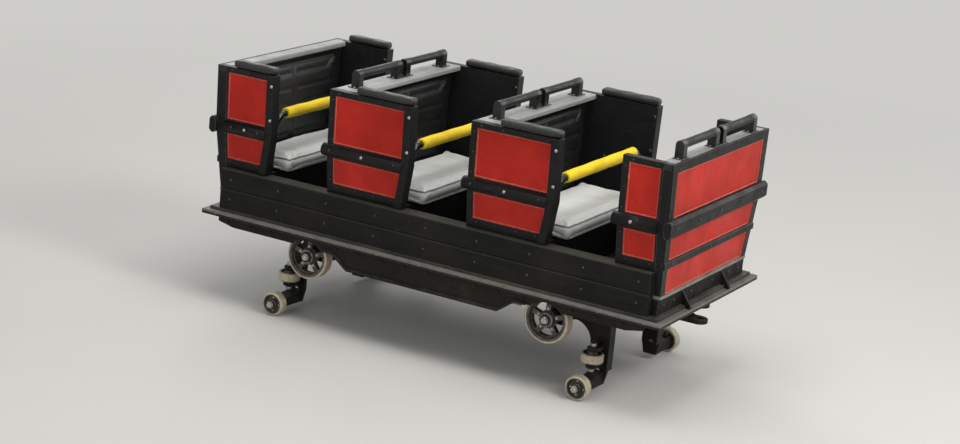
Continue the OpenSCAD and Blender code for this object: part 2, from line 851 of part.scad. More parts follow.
// rounded outline of an arm pad, its base on the wing's top
module arm_outline() {
    rr = arm_round;
    w = arm_w / 2;
    translate([-w, 0]) square([arm_w, arm_h - rr]);
    translate([-w + rr, 0]) square([arm_w - 2 * rr, arm_h]);
    translate([-w + rr, arm_h - rr]) circle(rr);
    translate([w - rr, arm_h - rr]) circle(rr);
}

module arm_pads() {
    color([0.05, 0.05, 0.05])
    both() for (i = [0:2]) {
        xa = WINGS[i][0] + (i == 0 ? rear_arm_bare - end_t : arm_bare);
        translate([xa, outer(z_top) - wall_t / 2, z_top])
            rotate([90, 0, 90]) linear_extrude(WINGS[i][1] - xa) arm_outline();
    }
}

// centres of the rows of handles: on the two shelves and on the front cap
HANDLES = [x0 + mid_at + shelf_d / 2, x0 + fore_at + shelf_d / 2, x1 - cap_d / 2];

module grab_handles() {
    ya = handle_gap / 2;
    yb = ya + handle_l;
    zt = z_top + handle_h - post_d / 2;
    color([0.04, 0.04, 0.045])
    for (x = HANDLES) both() union() {
        rod_y(x, ya + post_w / 2, yb - post_w / 2, zt, handle_d / 2);
        for (y = [ya, yb - post_w]) {
            block([x - post_d / 2, y, z_top], [x + post_d / 2, y + post_w, zt]);
            rod_y(x, y, y + post_w, zt, post_d / 2);
        }
    }
}

// plates beside the wings' feet with the pins that the lap bars turn on
module lap_brackets() {
    color([0.1, 0.1, 0.1])
    for (r = ROWS) translate([x0 + foot_x(r) - pivot_in, 0, 0]) both() {
        block([-plate_r, plate_y, z_sill], [plate_r, plate_y + plate_t, z_pivot]);
        rod_y(0, plate_y, plate_y + plate_t, z_pivot, plate_r);
        rod_y(0, cap_y - 1, plate_y + 1, z_pivot, pivot_d / 2);
        rod_y(0, cap_y - cap_t, cap_y, z_pivot, pivot_d / 2 + cap_t);
    }
}

// length of the lap bars' arms
arm_l = (z_lap - z_pivot) / cos(lap_lean);

// a lap bar's place: its pivot, with Z along its arms
module at_pivot(r) {
    translate([x0 + foot_x(r) - pivot_in, 0, z_pivot]) rotate([0, lap_lean, 0]) children();
}

module lap_bar(r) {
    flat_l = plate_r * 2 + 4;
    color([0.05, 0.05, 0.05])
    at_pivot(r) difference() {
        union() {
            rod_y(0, -lap_y + lap_bend, lap_y - lap_bend, arm_l, lap_d / 2);
            both() {
                translate([0, lap_y - lap_bend, arm_l - lap_bend]) rotate([90, 0, 90])
                    rotate_extrude(angle = 90) translate([lap_bend, 0]) circle(lap_d / 2);
                translate([0, lap_y, flat_l - 8])
                    cylinder(h = arm_l - lap_bend - flat_l + 8, r = lap_d / 2);
                rod_y(0, lap_y - eye_t / 2, lap_y + eye_t / 2, 0, eye_r);
                block([-eye_half, lap_y - eye_t / 2, 0], [eye_half, lap_y + eye_t / 2, flat_l]);
            }
        }
        rod_y(0, -lap_y - eye_t, lap_y + eye_t, 0, pivot_d / 2 + fit);
    }
}

module lap_pad(r) {
    half = lap_y - lap_bend - 6;
    color([0.85, 0.75, 0.05])
    at_pivot(r) difference() {
        rod_y(0, -half, half, arm_l, lap_pad_d / 2);
        rod_y(0, -half - 1, half + 1, arm_l, lap_d / 2);
    }
}

module rear_drawbar() {
    color([0.08, 0.08, 0.08])
    difference() {
        union() {
            block([x0 - draw_out, -draw_w / 2, z_draw],
                  [x0 + draw_in, draw_w / 2, z_draw + draw_h]);
            translate([x0 - draw_out, 0, z_draw]) cylinder(h = draw_h, r = draw_w / 2);
        }
        translate([x0 - draw_out, 0, z_draw - 1]) cylinder(h = draw_h + 2, r = pin_bore_d / 2);
    }
}

module front_coupling() {
    zb = z_deck - trim_h;
    za = zb - draw_h - 2 * cheek_t;
    xb = x1 + trim_out - nose_in - draw_w / 2;
    color([0.08, 0.08, 0.08])
    difference() {
        union() {
            block([x1 - coup_in, -draw_w / 2, za], [xb, draw_w / 2, zb]);
            translate([xb, 0, za]) cylinder(h = zb - za, r = draw_w / 2);
        }
        block([xb - draw_w / 2 - nose_in, -draw_w, za + cheek_t],
              [x1 + draw_w, draw_w, zb - cheek_t]);
        translate([xb, 0, za - 1]) cylinder(h = zb - za + 2, r = pin_bore_d / 2);
    }
}

// plate that the track's brakes grip, hung from the spine by a flange
module brake_fin() {
    xa = xr + fin_in;
    xb = xf - fin_in;
    zb = z_spine - fin_h;
    color([0.35, 0.35, 0.36])
    union() {
        block([xa, -spine_w / 3, z_spine - fin_drop], [xb, spine_w / 3, z_spine]);
        along_y(-fin_t / 2, fin_t / 2, [
            [xa, z_spine - fin_drop], [xa, zb + fin_rise], [xa + fin_toe, zb], [xb - fin_toe, zb],
            [xb, zb + fin_rise], [xb, z_spine - fin_drop]
        ]);
    }
}

floor_deck();
trim_rail();
spine_frame();
cross_members();
side_frames();
front_axle();
rear_axle();
sills();
end_aprons();
front_wall();
rear_wall();
row_wings(0);  // rear_wings
row_wings(1);  // mid_wings
row_wings(2);  // fore_wings
nose_wings();
wing_panels();
end_panels();
seat_backs();
shelves();
end_caps();
benches();
seat_cushions();
back_pads();
arm_pads();
grab_handles();
lap_brackets();
rear_drawbar();
front_coupling();
brake_fin();
running_wheel(CORNERS[0]);  // wheel_rl
running_wheel(CORNERS[1]);  // wheel_rr
running_wheel(CORNERS[2]);  // wheel_fl
running_wheel(CORNERS[3]);  // wheel_fr
guide_wheel(CORNERS[0]);  // guide_rl
guide_wheel(CORNERS[1]);  // guide_rr
guide_wheel(CORNERS[2]);  // guide_fl
guide_wheel(CORNERS[3]);  // guide_fr
upstop_wheel(CORNERS[0]);  // upstop_rl
upstop_wheel(CORNERS[1]);  // upstop_rr
upstop_wheel(CORNERS[2]);  // upstop_fl
upstop_wheel(CORNERS[3]);  // upstop_fr
lap_bar(ROWS[0]);  // lap_bar_rear
lap_bar(ROWS[1]);  // lap_bar_mid
lap_bar(ROWS[2]);  // lap_bar_fore
lap_pad(ROWS[0]);  // lap_pad_rear
lap_pad(ROWS[1]);  // lap_pad_mid
lap_pad(ROWS[2]);  // lap_pad_fore
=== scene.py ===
import json
import math
import bmesh
import bpy
import numpy as np
from mathutils import Matrix, Vector
from mathutils.bvhtree import BVHTree


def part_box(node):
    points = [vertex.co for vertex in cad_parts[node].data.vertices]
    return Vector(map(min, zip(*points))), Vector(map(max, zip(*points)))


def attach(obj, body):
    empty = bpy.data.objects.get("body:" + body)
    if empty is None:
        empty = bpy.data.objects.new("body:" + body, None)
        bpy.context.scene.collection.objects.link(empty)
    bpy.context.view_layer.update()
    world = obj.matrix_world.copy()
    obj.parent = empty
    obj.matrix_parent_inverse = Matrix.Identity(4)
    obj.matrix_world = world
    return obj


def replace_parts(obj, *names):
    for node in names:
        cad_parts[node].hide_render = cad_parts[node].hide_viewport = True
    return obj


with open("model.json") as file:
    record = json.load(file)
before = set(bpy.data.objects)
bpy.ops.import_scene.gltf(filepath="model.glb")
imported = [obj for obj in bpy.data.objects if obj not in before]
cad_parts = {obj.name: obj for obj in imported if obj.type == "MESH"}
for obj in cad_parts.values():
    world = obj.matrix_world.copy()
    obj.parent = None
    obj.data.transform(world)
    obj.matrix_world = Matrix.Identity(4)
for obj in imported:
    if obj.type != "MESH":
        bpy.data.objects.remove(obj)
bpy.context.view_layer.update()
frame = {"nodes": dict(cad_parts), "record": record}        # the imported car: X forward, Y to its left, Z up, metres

print("stage 1: frame loaded")


# Sizes read from the frame

def meshOf(node):
    return frame["nodes"][node].data


def corners(node):
    low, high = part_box(node)
    return np.array(low), np.array(high)


def pointsOf(mesh):
    points = np.empty(len(mesh.vertices) * 3, np.float32)
    mesh.vertices.foreach_get("co", points)
    return points.reshape(-1, 3).astype(float)


# Separate solids of a node: equal points are merged, then the lowest label spreads along the edges
def solidsOf(node):
    mesh = meshOf(node)
    pairs = np.empty(len(mesh.edges) * 2, np.int32)
    mesh.edges.foreach_get("vertices", pairs)
    merged, back = np.unique(np.round(pointsOf(mesh), 5), axis=0, return_inverse=True)
    a, b = back.ravel()[pairs.reshape(-1, 2)].T
    label = np.arange(len(merged))
    before = label - 1
    while (label != before).any():
        before, low = label, np.minimum(label[a], label[b])
        label = before.copy()
        np.minimum.at(label, a, low)
        np.minimum.at(label, b, low)
        label = label[label]
    found = [merged[label == k] for k in np.unique(label)]
    return sorted(found, key=lambda p: (round(p[:, 0].mean(), 3), round(p[:, 1].mean(), 3)))


def boxesOf(node):
    return [(points.min(0), points.max(0)) for points in solidsOf(node)]


# Materials

def screen(red, green, blue):
    # a colour as a screen shows it, 0 to 255, as linear light
    c = np.array([red, green, blue]) / 255
    linear = np.where(c <= 0.04045, c / 12.92, ((c + 0.055) / 1.055) ** 2.4)
    return (*linear.tolist(), 1.0)


class Graph:
    # a material's or the world's node tree; each call adds a node and returns its output socket
    def __init__(self, owner, kind="Material", shader="BsdfPrincipled"):
        self.owner = owner
        owner.use_nodes = True
        self.tree = owner.node_tree
        self.tree.nodes.clear()
        self.out = self.tree.nodes.new("ShaderNodeOutput" + kind)
        self.shader = self.tree.nodes.new("ShaderNode" + shader)
        self.tree.links.new(self.shader.outputs[0], self.out.inputs[0])
        self.place = self.tree.nodes.new("ShaderNodeTexCoord")

    def add(self, kind, inputs, output=0, **settings):
        item = self.tree.nodes.new("ShaderNode" + kind)
        for key, value in settings.items():
            setattr(item, key, value)
        for key, value in inputs.items():
            self.feed(item.inputs[key], value)
        return item.outputs[output]

    def feed(self, socket, value):
        if isinstance(value, bpy.types.NodeSocket):
            self.tree.links.new(value, socket)
        else:
            socket.default_value = value

    def finish(self, **inputs):
        for key, value in inputs.items():
            self.feed(self.shader.inputs[key.replace("_", " ")], value)
        return self.owner

    def point(self, stretch=(1, 1, 1), centre=(0, 0, 0)):
        # object coordinates from a centre, scaled to stretch a pattern
        return self.vector("MULTIPLY", self.vector("SUBTRACT", self.place.outputs["Object"], centre), stretch)

    def noise(self, scale, detail=3.0, rough=0.55, stretch=(1, 1, 1)):
        return self.add("TexNoise", {"Vector": self.point(stretch), "Scale": scale, "Detail": detail,
                                     "Roughness": rough})

    def between(self, value, low, high, start=0.0, end=1.0):
        return self.add("MapRange", {0: value, 1: low, 2: high, 3: start, 4: end},
                        interpolation_type="SMOOTHSTEP")

    def patches(self, scale, detail, low, high, start=0.0, end=1.0, rough=0.55, stretch=(1, 1, 1)):
        return self.between(self.noise(scale, detail, rough, stretch), low, high, start, end)

    def math(self, operation, a, b=0.0):
        return self.add("Math", {0: a, 1: b}, operation=operation)

    def vector(self, operation, a, b=(0, 0, 0), output=0):
        # output 1 where the result is a number
        return self.add("VectorMath", {0: a, 1: b}, output=output, operation=operation)

    def sum(self, a, b):
        return self.math("ADD", a, b)

    def times(self, a, b):
        return self.math("MULTIPLY", a, b)

    def most(self, a, b):
        return self.math("MAXIMUM", a, b)

    def part(self, number, source="Object"):
        # one coordinate of the surface's place, or of its normal
        return self.add("SeparateXYZ", {0: self.place.outputs[source]}, output=number)

    def mix(self, share, a, b):
        a, b = (screen(*c) if isinstance(c, tuple) else c for c in (a, b))
        return self.add("Mix", {0: share, 6: a, 7: b}, output=2, data_type="RGBA")

    def edge(self, radius):
        # near a convex edge the rounded normal turns away from the true one
        rounded = self.add("Bevel", {"Radius": radius}, samples=6)
        true = self.add("NewGeometry", {}, output=1)
        return self.math("SUBTRACT", 1.0, self.vector("DOT_PRODUCT", rounded, true, 1))

    def upward(self):
        # 1 on faces that look up
        return self.between(self.part(2, "Normal"), 0.3, 0.95)

    def bump(self, height, distance, strength=1.0):
        return self.add("Bump", {"Height": height, "Distance": distance, "Strength": strength})

    def seen(self):
        # 1 for what the camera, a reflection or glass shows
        rays = self.add("LightPath", {}).node.outputs
        return self.most(self.most(rays["Is Camera Ray"], rays["Is Glossy Ray"]), rays["Is Transmission Ray"])

    def cover(self, share, other):
        blend = self.add("MixShader", {0: share, 1: self.shader.outputs[0], 2: other})
        self.tree.links.new(blend, self.out.inputs[0])


def paint(colour, bare, wear, dust, gloss, shine, **more):
    # bare: the metal below, and on the trim rail also the colour of its painted highlight band; wear: how much of it
    # shows at edges, shine: strength of the reflections
    return dict(colour=colour, bare=bare, wear=wear, dust=dust, gloss=gloss, shine=shine, **more)


paints = {
    # zone: heights between which the bare colour shows, and how much: bare metal at the wall's foot, a painted
    # highlight along the trim rail's top; ends: how far out the paint turns black
    "wingBlack": paint((22, 23, 23), (118, 118, 114), 0.42, 0.07, 0.42, 0.15),
    "wallBlack": paint((22, 23, 23), (142, 139, 132), 0.42, 0.07, 0.42, 0.15, zone=(0.560, 0.5865, 0.85)),
    "chassisBlack": paint((23, 22, 19), (92, 80, 66), 0.46, 0.30, 0.54, 0.16),
    "handleBlack": paint((13, 13, 14), (110, 110, 108), 0.36, 0.04, 0.26, 0.50),
    "panelRed": paint((168, 36, 27), (212, 146, 128), 0.46, 0.05, 0.42, 0.13),
    "beadRed": paint((168, 60, 50), (216, 168, 152), 0.75, 0.10, 0.44, 0.18),
    "shelfGrey": paint((132, 133, 132), (190, 190, 186), 0.60, 0.20, 0.46, 0.40),
    # trim rail: the pale band along its top is a painted highlight where light catches it, not worn metal
    "trimBlack": paint((20, 19, 18), (112, 109, 103), 0.70, 0.20, 0.50, 0.24, zone=(0.4665, 0.50, 0.95)),
}
paints["capGrey"] = paints["shelfGrey"] | {"ends": 0.505}


# Paint over metal: cloudy colour, bare edges broken up by noise, dust on upward faces, fine scratches, and a band at
# given heights in the bare colour, which on the trim rail is a painted highlight
def paintMaterial(g, look):
    faded = tuple(min(255, c * 1.28 + 6) for c in look["colour"])
    cloud = g.patches(3.2, 5, 0.35, 0.72, rough=0.6)
    colour = g.mix(g.times(cloud, 0.55), look["colour"], faded)
    if "ends" in look:
        outer = g.between(g.math("ABSOLUTE", g.part(1)), look["ends"], look["ends"] + 0.0008)
        colour = g.mix(outer, colour, paints["wingBlack"]["colour"])
    dust = g.times(g.most(g.upward(), g.patches(1.1, 4, 0.52, 0.9)),
                   g.patches(14, 6, 0.32, 0.75, 0, look["dust"], 0.65))
    colour = g.mix(dust, colour, (134, 122, 104))
    speck = g.patches(190, 2, 0.69, 0.74, 0, look["wear"])
    edge = g.sum(g.edge(0.006), g.patches(46, 5, 0.3, 0.75, -0.16, 0.1, 0.7))
    wearAndLitBand = g.most(g.between(edge, 0.07, 0.15, 0, look["wear"]), g.times(speck, cloud))
    # The height band: bare metal at the walls' foot, a painted highlight along the trim rail's top
    if "zone" in look:
        height = g.part(2)
        low, high, most = look["zone"]
        inside = g.times(g.between(height, low, low + 0.001), g.between(height, high - 0.0005, high, 1, 0))
        wearAndLitBand = g.most(wearAndLitBand, g.times(inside, g.patches(16, 5, 0.25, 0.6, most * 0.55, most, 0.7)))
    colour = g.mix(wearAndLitBand, colour, look["bare"])
    scratch = g.patches(34, 2, 0.64, 0.72, rough=0.5, stretch=(1, 1, 14))
    colour = g.mix(g.times(scratch, 0.16), colour, look["bare"])
    rough = g.sum(g.patches(9, 4, 0.3, 0.7, look["gloss"] - 0.07, look["gloss"] + 0.1), g.times(dust, 0.5))
    peel = g.sum(g.times(g.noise(320, 2), 0.5), g.times(wearAndLitBand, -1.2))
    return g.finish(Base_Color=colour, Roughness=rough, Normal=g.bump(peel, 0.00035),
                    Specular_IOR_Level=look["shine"])


# Painted boards: long grain in bump and colour, scuffed edges, upward faces painted lighter as a highlight from above
def boardMaterial(g, look):
    grain = g.noise(7, 7, 0.62, (0.7, 9, 15))
    fibre = g.noise(60, 3, 0.6, (0.25, 5, 8))
    colour = g.mix(g.between(grain, 0.42, 0.74, 0, 0.8), look["colour"], look["faded"])
    colour = g.mix(g.patches(2.4, 6, 0.4, 0.8, 0, 0.36, 0.65), colour, look["dust"])
    # Upward faces lighter: a painted highlight of light falling from above
    colour = g.mix(g.times(g.upward(), 0.6), colour, look["top"])
    edge = g.sum(g.edge(0.007), g.patches(30, 5, 0.3, 0.75, -0.14, 0.1, 0.7))
    colour = g.mix(g.between(edge, 0.07, 0.17, 0, look["wear"]), colour, look["bare"])
    height = g.sum(g.times(grain, 0.4), g.times(fibre, 0.5))
    return g.finish(Base_Color=colour, Roughness=g.patches(11, 4, 0.3, 0.7, 0.46, 0.66),
                    Normal=g.bump(height, 0.0009), IOR=1.48, Specular_IOR_Level=look["shine"])


boards = {
    # top: colour of the upward faces, a painted highlight
    "boardBlack": {"colour": (21, 21, 19), "faded": (32, 31, 28), "dust": (54, 50, 43), "top": (70, 67, 60),
                   "bare": (104, 99, 90), "wear": 0.62, "shine": 0.14},
}


# Vinyl: fine leather grain from small cells, slow creases, soiling in broad patches
def vinylMaterial(g, look):
    cells = g.add("TexVoronoi", {"Vector": g.point(), "Scale": 620.0}, feature="DISTANCE_TO_EDGE")
    crease = g.patches(26, 5, 0.47, 0.53, rough=0.7, stretch=(1, 1.6, 1))
    colour = g.mix(g.patches(5.5, 6, 0.42, 0.8, 0, look["soil"], 0.62), look["colour"], look["soiled"])
    colour = g.mix(g.times(crease, 0.08), colour, look["soiled"])
    rough = g.patches(13, 3, 0.3, 0.7, look["gloss"] - 0.06, look["gloss"] + 0.1)
    height = g.sum(g.between(cells, 0.0, 0.12), g.times(crease, 0.35))
    return g.finish(Base_Color=colour, Roughness=rough, Normal=g.bump(height, 0.00030, 0.7))


vinyls = {
    "cushionVinyl": {"colour": (234, 235, 233), "soiled": (184, 177, 163), "soil": 0.50, "gloss": 0.44},
    "padVinyl": {"colour": (20, 20, 21), "soiled": (38, 37, 35), "soil": 0.40, "gloss": 0.34},
    "pipingVinyl": {"colour": (150, 150, 149), "soiled": (96, 92, 84), "soil": 0.60, "gloss": 0.40},
}


# Closed foam sleeve: small pits, rubbed darker where hands hold it
def foamMaterial(g):
    pits = g.add("TexVoronoi", {"Vector": g.point(), "Scale": 420.0}, feature="F1")
    rub = g.patches(8, 6, 0.45, 0.78, 0, 0.55, 0.65, (1, 0.6, 1))
    nick = g.patches(75, 3, 0.68, 0.74, 0, 0.5)
    colour = g.mix(nick, g.mix(rub, (238, 204, 22), (176, 140, 30)), (92, 78, 34))
    height = g.sum(g.between(pits, 0.1, 0.6), g.times(nick, -2.0))
    return g.finish(Base_Color=colour, Roughness=0.72, Normal=g.bump(height, 0.0004, 0.6), IOR=1.45)


# Rubber of the grips: matt, with fine pits and pale dust
def rubberMaterial(g):
    colour = g.mix(g.patches(17, 6, 0.5, 0.8, 0, 0.30, 0.66), (17, 17, 18), (74, 71, 66))
    return g.finish(Base_Color=colour, Roughness=g.patches(22, 4, 0.3, 0.7, 0.36, 0.52),
                    Normal=g.bump(g.noise(420, 3), 0.00025))


# Bare steel: brushed streaks, grease and rust in patches
def steelMaterial(g, look):
    stain = g.patches(21, 6, 0.48, 0.74, 0, look["rust"], 0.68)
    streaks = g.patches(90, 3, 0.3, 0.7, rough=0.5, stretch=look["streak"])
    tone = g.mix(streaks, look["colour"], tuple(c * 0.72 for c in look["colour"]))
    tone = g.mix(stain, tone, (96, 62, 38))
    coarse = g.sum(g.patches(40, 3, 0.3, 0.7, look["rough"] - 0.08, look["rough"] + 0.1), g.times(stain, 0.4))
    return g.finish(Base_Color=tone, Metallic=0.85, Roughness=coarse,
                    Normal=g.bump(g.noise(130, 3, 0.5, look["streak"]), 0.0003))


steels = {
    "boltSteel": {"colour": (196, 194, 188), "rust": 0.35, "rough": 0.34, "streak": (1, 1, 12)},
    "finSteel": {"colour": (150, 146, 140), "rust": 0.6, "rough": 0.40, "streak": (12, 1, 1)},
}


# Cast wheel: hub and spokes in worn grey paint, polished tread, by the distance from the axle
def wheelMaterial(g, centre, axis, radius, tread):
    away = g.point(tuple(0 if i == axis else 1 for i in range(3)), centre)
    distance = g.vector("LENGTH", away, output=1)
    ring = g.between(distance, radius - tread - 0.002, radius - tread)
    cast = g.mix(g.patches(28, 6, 0.4, 0.72, rough=0.66), (62, 59, 54), (96, 90, 80))
    hub = g.between(distance, radius * 0.30, radius * 0.34, 1, 0)
    cast = g.mix(g.times(hub, 0.6), cast, (150, 146, 136))
    near = g.between(distance, radius * 0.2, radius * 0.62, 1, 0)
    grease = g.times(near, g.patches(36, 5, 0.42, 0.68, 0, 0.85, 0.7))
    cast = g.mix(grease, cast, (30, 26, 22))
    face = g.mix(g.patches(60, 4, 0.4, 0.75, 0, 0.6), (186, 176, 154), (128, 112, 90))
    height = g.sum(g.noise(240, 3), g.times(g.noise(40, 3), 1.5))
    return g.finish(Base_Color=g.mix(ring, cast, face), Roughness=g.patches(24, 4, 0.3, 0.7, 0.34, 0.56),
                    Metallic=0.25, Normal=g.bump(height, 0.0005))


deck = {"tread": 34.0, "dash": (0.40, 0.13), "margin": 0.004}


# Deck plate: a lens-shaped tread in each square, every second one turned; plain past the sills
def deckMaterial(g):
    squares = g.point((deck["tread"], deck["tread"], 0))
    local = g.vector("SUBTRACT", g.vector("FRACTION", squares), (0.5, 0.5, 0))
    odd = g.math("FLOORED_MODULO", g.vector("DOT_PRODUCT", g.vector("FLOOR", squares), (1, 1, 0), 1), 2.0)
    ways = [g.vector("DOT_PRODUCT", local, (0.707, sign * 0.707, 0), 1) for sign in (1, -1)]
    reach = [g.math("ABSOLUTE", g.add("Mix", {0: odd, 2: a, 3: b})) for a, b in (ways, ways[::-1])]
    shares = [g.math("POWER", g.times(way, 1 / size), 2.0) for way, size in zip(reach, deck["dash"])]
    side = corners("sills")[1][1]
    inside = g.between(g.math("ABSOLUTE", g.part(1)), side - deck["margin"], side, 1, 0)
    tread = g.times(g.between(g.sum(*shares), 0.6, 1.0, 1, 0), g.times(inside, g.upward()))
    mud = g.patches(5, 7, 0.38, 0.7, rough=0.66)
    colour = g.mix(g.times(mud, 0.6), (44, 44, 43), (98, 88, 74))
    colour = g.mix(g.times(tread, 0.45), colour, (126, 124, 118))
    rough = g.between(mud, 0, 1, 0.42, 0.8)
    return g.finish(Base_Color=colour, Roughness=rough, Metallic=0.2, Normal=g.bump(tread, 0.0012))


def newGraph(name):
    return Graph(bpy.data.materials.new(name))


finishes = {}
for maker, looks in ((paintMaterial, paints), (boardMaterial, boards), (vinylMaterial, vinyls),
                     (steelMaterial, steels)):
    finishes.update({name: maker(newGraph(name), look) for name, look in looks.items()})
for maker, name in ((foamMaterial, "foamYellow"), (rubberMaterial, "gripRubber"),
                    (deckMaterial, "deckPlate")):
    finishes[name] = maker(newGraph(name))
print("stage 2: finishes made")


# Shapes

# A grid of points, rows by columns, as points and faces, joined round where a direction closes
def gridShape(points, closeRows=False, closeColumns=False):
    rows, columns = points.shape[:2]
    i = np.arange(rows if closeRows else rows - 1)[:, None]
    j = np.arange(columns if closeColumns else columns - 1)[None, :]
    nextI, nextJ = (i + 1) % rows, (j + 1) % columns
    row, nextRow = i * columns, nextI * columns
    faces = np.broadcast_arrays(row + j, nextRow + j, nextRow + nextJ, row + nextJ)
    return points.reshape(-1, 3), np.stack(faces, -1).reshape(-1, 4)


def unit(vectors):
    return vectors / np.linalg.norm(vectors, axis=-1, keepdims=True)


# The cosine and sine of each turn, times the radius
def circlePoints(radius, steps, start=0.0):
    turn = start + np.linspace(0, 2 * math.pi, steps, endpoint=False)
    return radius * np.stack([np.cos(turn), np.sin(turn)], 1)


# A circle in space, square to one of the three axes
def circlePath(centre, axis, radius, steps=30, start=0.0):
    points = np.tile(np.array(centre, float), (steps, 1))
    points[:, [k for k in range(3) if k != axis]] += circlePoints(radius, steps, start)
    return points


# Rings of points stepped up an axis: each radius times a circle, at its height
def steppedRings(radii, heights, steps):
    rings = np.array(radii)[:, None, None] * circlePoints(1, steps)
    levels = np.broadcast_to(np.array(heights)[:, None, None], (len(radii), steps, 1))
    return gridShape(np.concatenate([rings, levels], 2), False, True)


# A ring of points carried along a path, square to its direction, and scaled by the size at each spot
def sweptShape(path, ring, up, closed=True, size=1.0):
    along = unit(np.roll(path, -1, 0) - np.roll(path, 1, 0) if closed else np.gradient(path, axis=0))
    side = unit(np.cross(up, along))
    rise = np.cross(along, side)
    spread = ring[None, :, :1] * side[:, None, :] + ring[None, :, 1:] * rise[:, None, :]
    spread *= np.broadcast_to(size, len(path))[:, None, None]
    points, faces = gridShape(path[:, None, :] + spread, closed, True)
    if closed:
        return points, faces
    first = list(range(len(ring)))
    return points, faces.tolist() + [first[::-1], [len(points) - len(ring) + k for k in first]]


def listed(faces):
    return faces.tolist() if hasattr(faces, "tolist") else faces


def joined(shapes):
    points, faces, start = [], [], 0
    for p, f in shapes:
        points.append(p)
        faces += [[k + start for k in face] for face in listed(f)]
        start += len(p)
    return np.concatenate(points), faces


# A shape set at many places: each copy is the shape turned by a frame, plus its place
def copiesOf(shape, places, frames):
    points, faces = shape
    faces = np.array(faces)
    spots = np.einsum("nij,kj->nki", np.array(frames), points) + np.array(places)[:, None, :]
    shift = (np.arange(len(places)) * len(points))[:, None, None]
    return spots.reshape(-1, 3), (faces[None] + shift).reshape(-1, faces.shape[1])


# A frame whose third direction is the given one
def facing(direction):
    w = unit(np.array(direction, float))
    u = unit(np.cross((0, 0, 1) if abs(w[2]) < 0.9 else (1, 0, 0), w))
    return np.stack([u, np.cross(w, u), w], 1)


def setAll(item, **values):
    for key, value in values.items():
        setattr(item, key, value)


def linked(name, data):
    made = bpy.data.objects.new(name, data)
    bpy.context.scene.collection.objects.link(made)
    return made


# A mesh gone over once: points closer than a distance are merged, then each step is done
def reworked(mesh, apart, *steps):
    shape = bmesh.new()
    shape.from_mesh(mesh)
    bmesh.ops.remove_doubles(shape, verts=shape.verts, dist=apart)
    for step in steps:
        step(shape)
    shape.to_mesh(mesh)
    shape.free()


def meshFrom(name, shape, apart):
    mesh = bpy.data.meshes.new(name)
    mesh.from_pydata(np.asarray(shape[0]).tolist(), [], listed(shape[1]))
    reworked(mesh, apart, lambda made: bmesh.ops.recalc_face_normals(made, faces=made.faces))
    return linked(name, mesh)


# The piece gets its finish, and goes with a node's body
def dress(piece, material, node):
    piece.data.materials.clear()
    piece.data.materials.append(finishes[material])
    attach(piece, bodyOf[node])
    return piece


def addPiece(name, shape, material, node, smooth=True):
    piece = meshFrom(name, shape, 1e-6)
    if smooth:
        piece.data.shade_smooth()
    return dress(piece, material, node)


bodyOf = {node: body for body, nodes in frame["record"]["behaviour"]["bodies"].items() for node in nodes}


# The rigid pieces: each node's own form with broken edges

dressed = {
    # finish: the nodes that take it, each with the width of its broken edge
    "deckPlate": {"floor_deck": 0.0015}, "trimBlack": {"trim_rail": 0.004},
    "chassisBlack": {"spine_frame": 0.004, "cross_members": 0.003, "side_frames": 0.002, "front_axle": 0.002,
                     "rear_axle": 0.002, "lap_brackets": 0.0015, "rear_drawbar": 0.003,
                     "front_coupling": 0.002},
    "boardBlack": {"sills": 0.0025, "end_aprons": 0.002, "seat_backs": 0.003, "benches": 0.002},
    "wallBlack": {"front_wall": 0.003, "rear_wall": 0.003},
    "wingBlack": {"rear_wings": 0.003, "mid_wings": 0.003, "fore_wings": 0.003, "nose_wings": 0.003},
    "panelRed": {"wing_panels": 0.0015, "end_panels": 0.0015}, "shelfGrey": {"shelves": 0.003},
    "capGrey": {"end_caps": 0.003}, "finSteel": {"brake_fin": 0.0012},
    "handleBlack": {"grab_handles": 0.003, "lap_bar_rear": 0.0015, "lap_bar_mid": 0.0015,
                    "lap_bar_fore": 0.0015},
}
pickedNodes = ("rear_wings", "mid_wings", "fore_wings", "nose_wings", "rear_drawbar")


# Two broad faces meet in a crisp crease, the narrow facets of a round stay smooth. Picked nodes have very
# short edges: there only outward edges between broad enough faces are broken
def markEdges(shape, width, picked, steep, broad=0.012):
    weight = shape.edges.layers.float.new("bevel_weight_edge")
    breadth = {face: face.calc_area() / max(e.calc_length() for e in face.edges) for face in shape.faces}
    for edge in shape.edges:
        if len(edge.link_faces) == 2:
            narrow = min(breadth[face] for face in edge.link_faces)
            turn = math.degrees(edge.calc_face_angle())
            edge.smooth = narrow <= broad or not 1 < turn < steep
            edge[weight] = float(picked and edge.is_convex and turn > steep and narrow > 1.5 * width)


def dressNode(node, material, width, angle=32):
    picked = node in pickedNodes

    def prepare(shape):
        bmesh.ops.dissolve_limit(shape, angle_limit=math.radians(0.5), verts=shape.verts, edges=shape.edges)
        for face in shape.faces:
            face.smooth = True
        markEdges(shape, width, picked, angle)

    piece = linked(node + "_dressed", meshOf(node).copy())
    piece.data.name = piece.name
    reworked(piece.data, 2e-5, prepare)
    setAll(piece.modifiers.new("edges", "BEVEL"), width=width, segments=2,
           angle_limit=math.radians(angle), limit_method="WEIGHT" if picked else "ANGLE",
           use_clamp_overlap=not picked)
    setAll(piece.modifiers.new("normals", "WEIGHTED_NORMAL"), keep_sharp=True, weight=80)
    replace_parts(dress(piece, material, node), node)


for material, nodes in dressed.items():
    for node, width in nodes.items():
        dressNode(node, material, width)
print("stage 3: rigid pieces dressed")


# Wheels

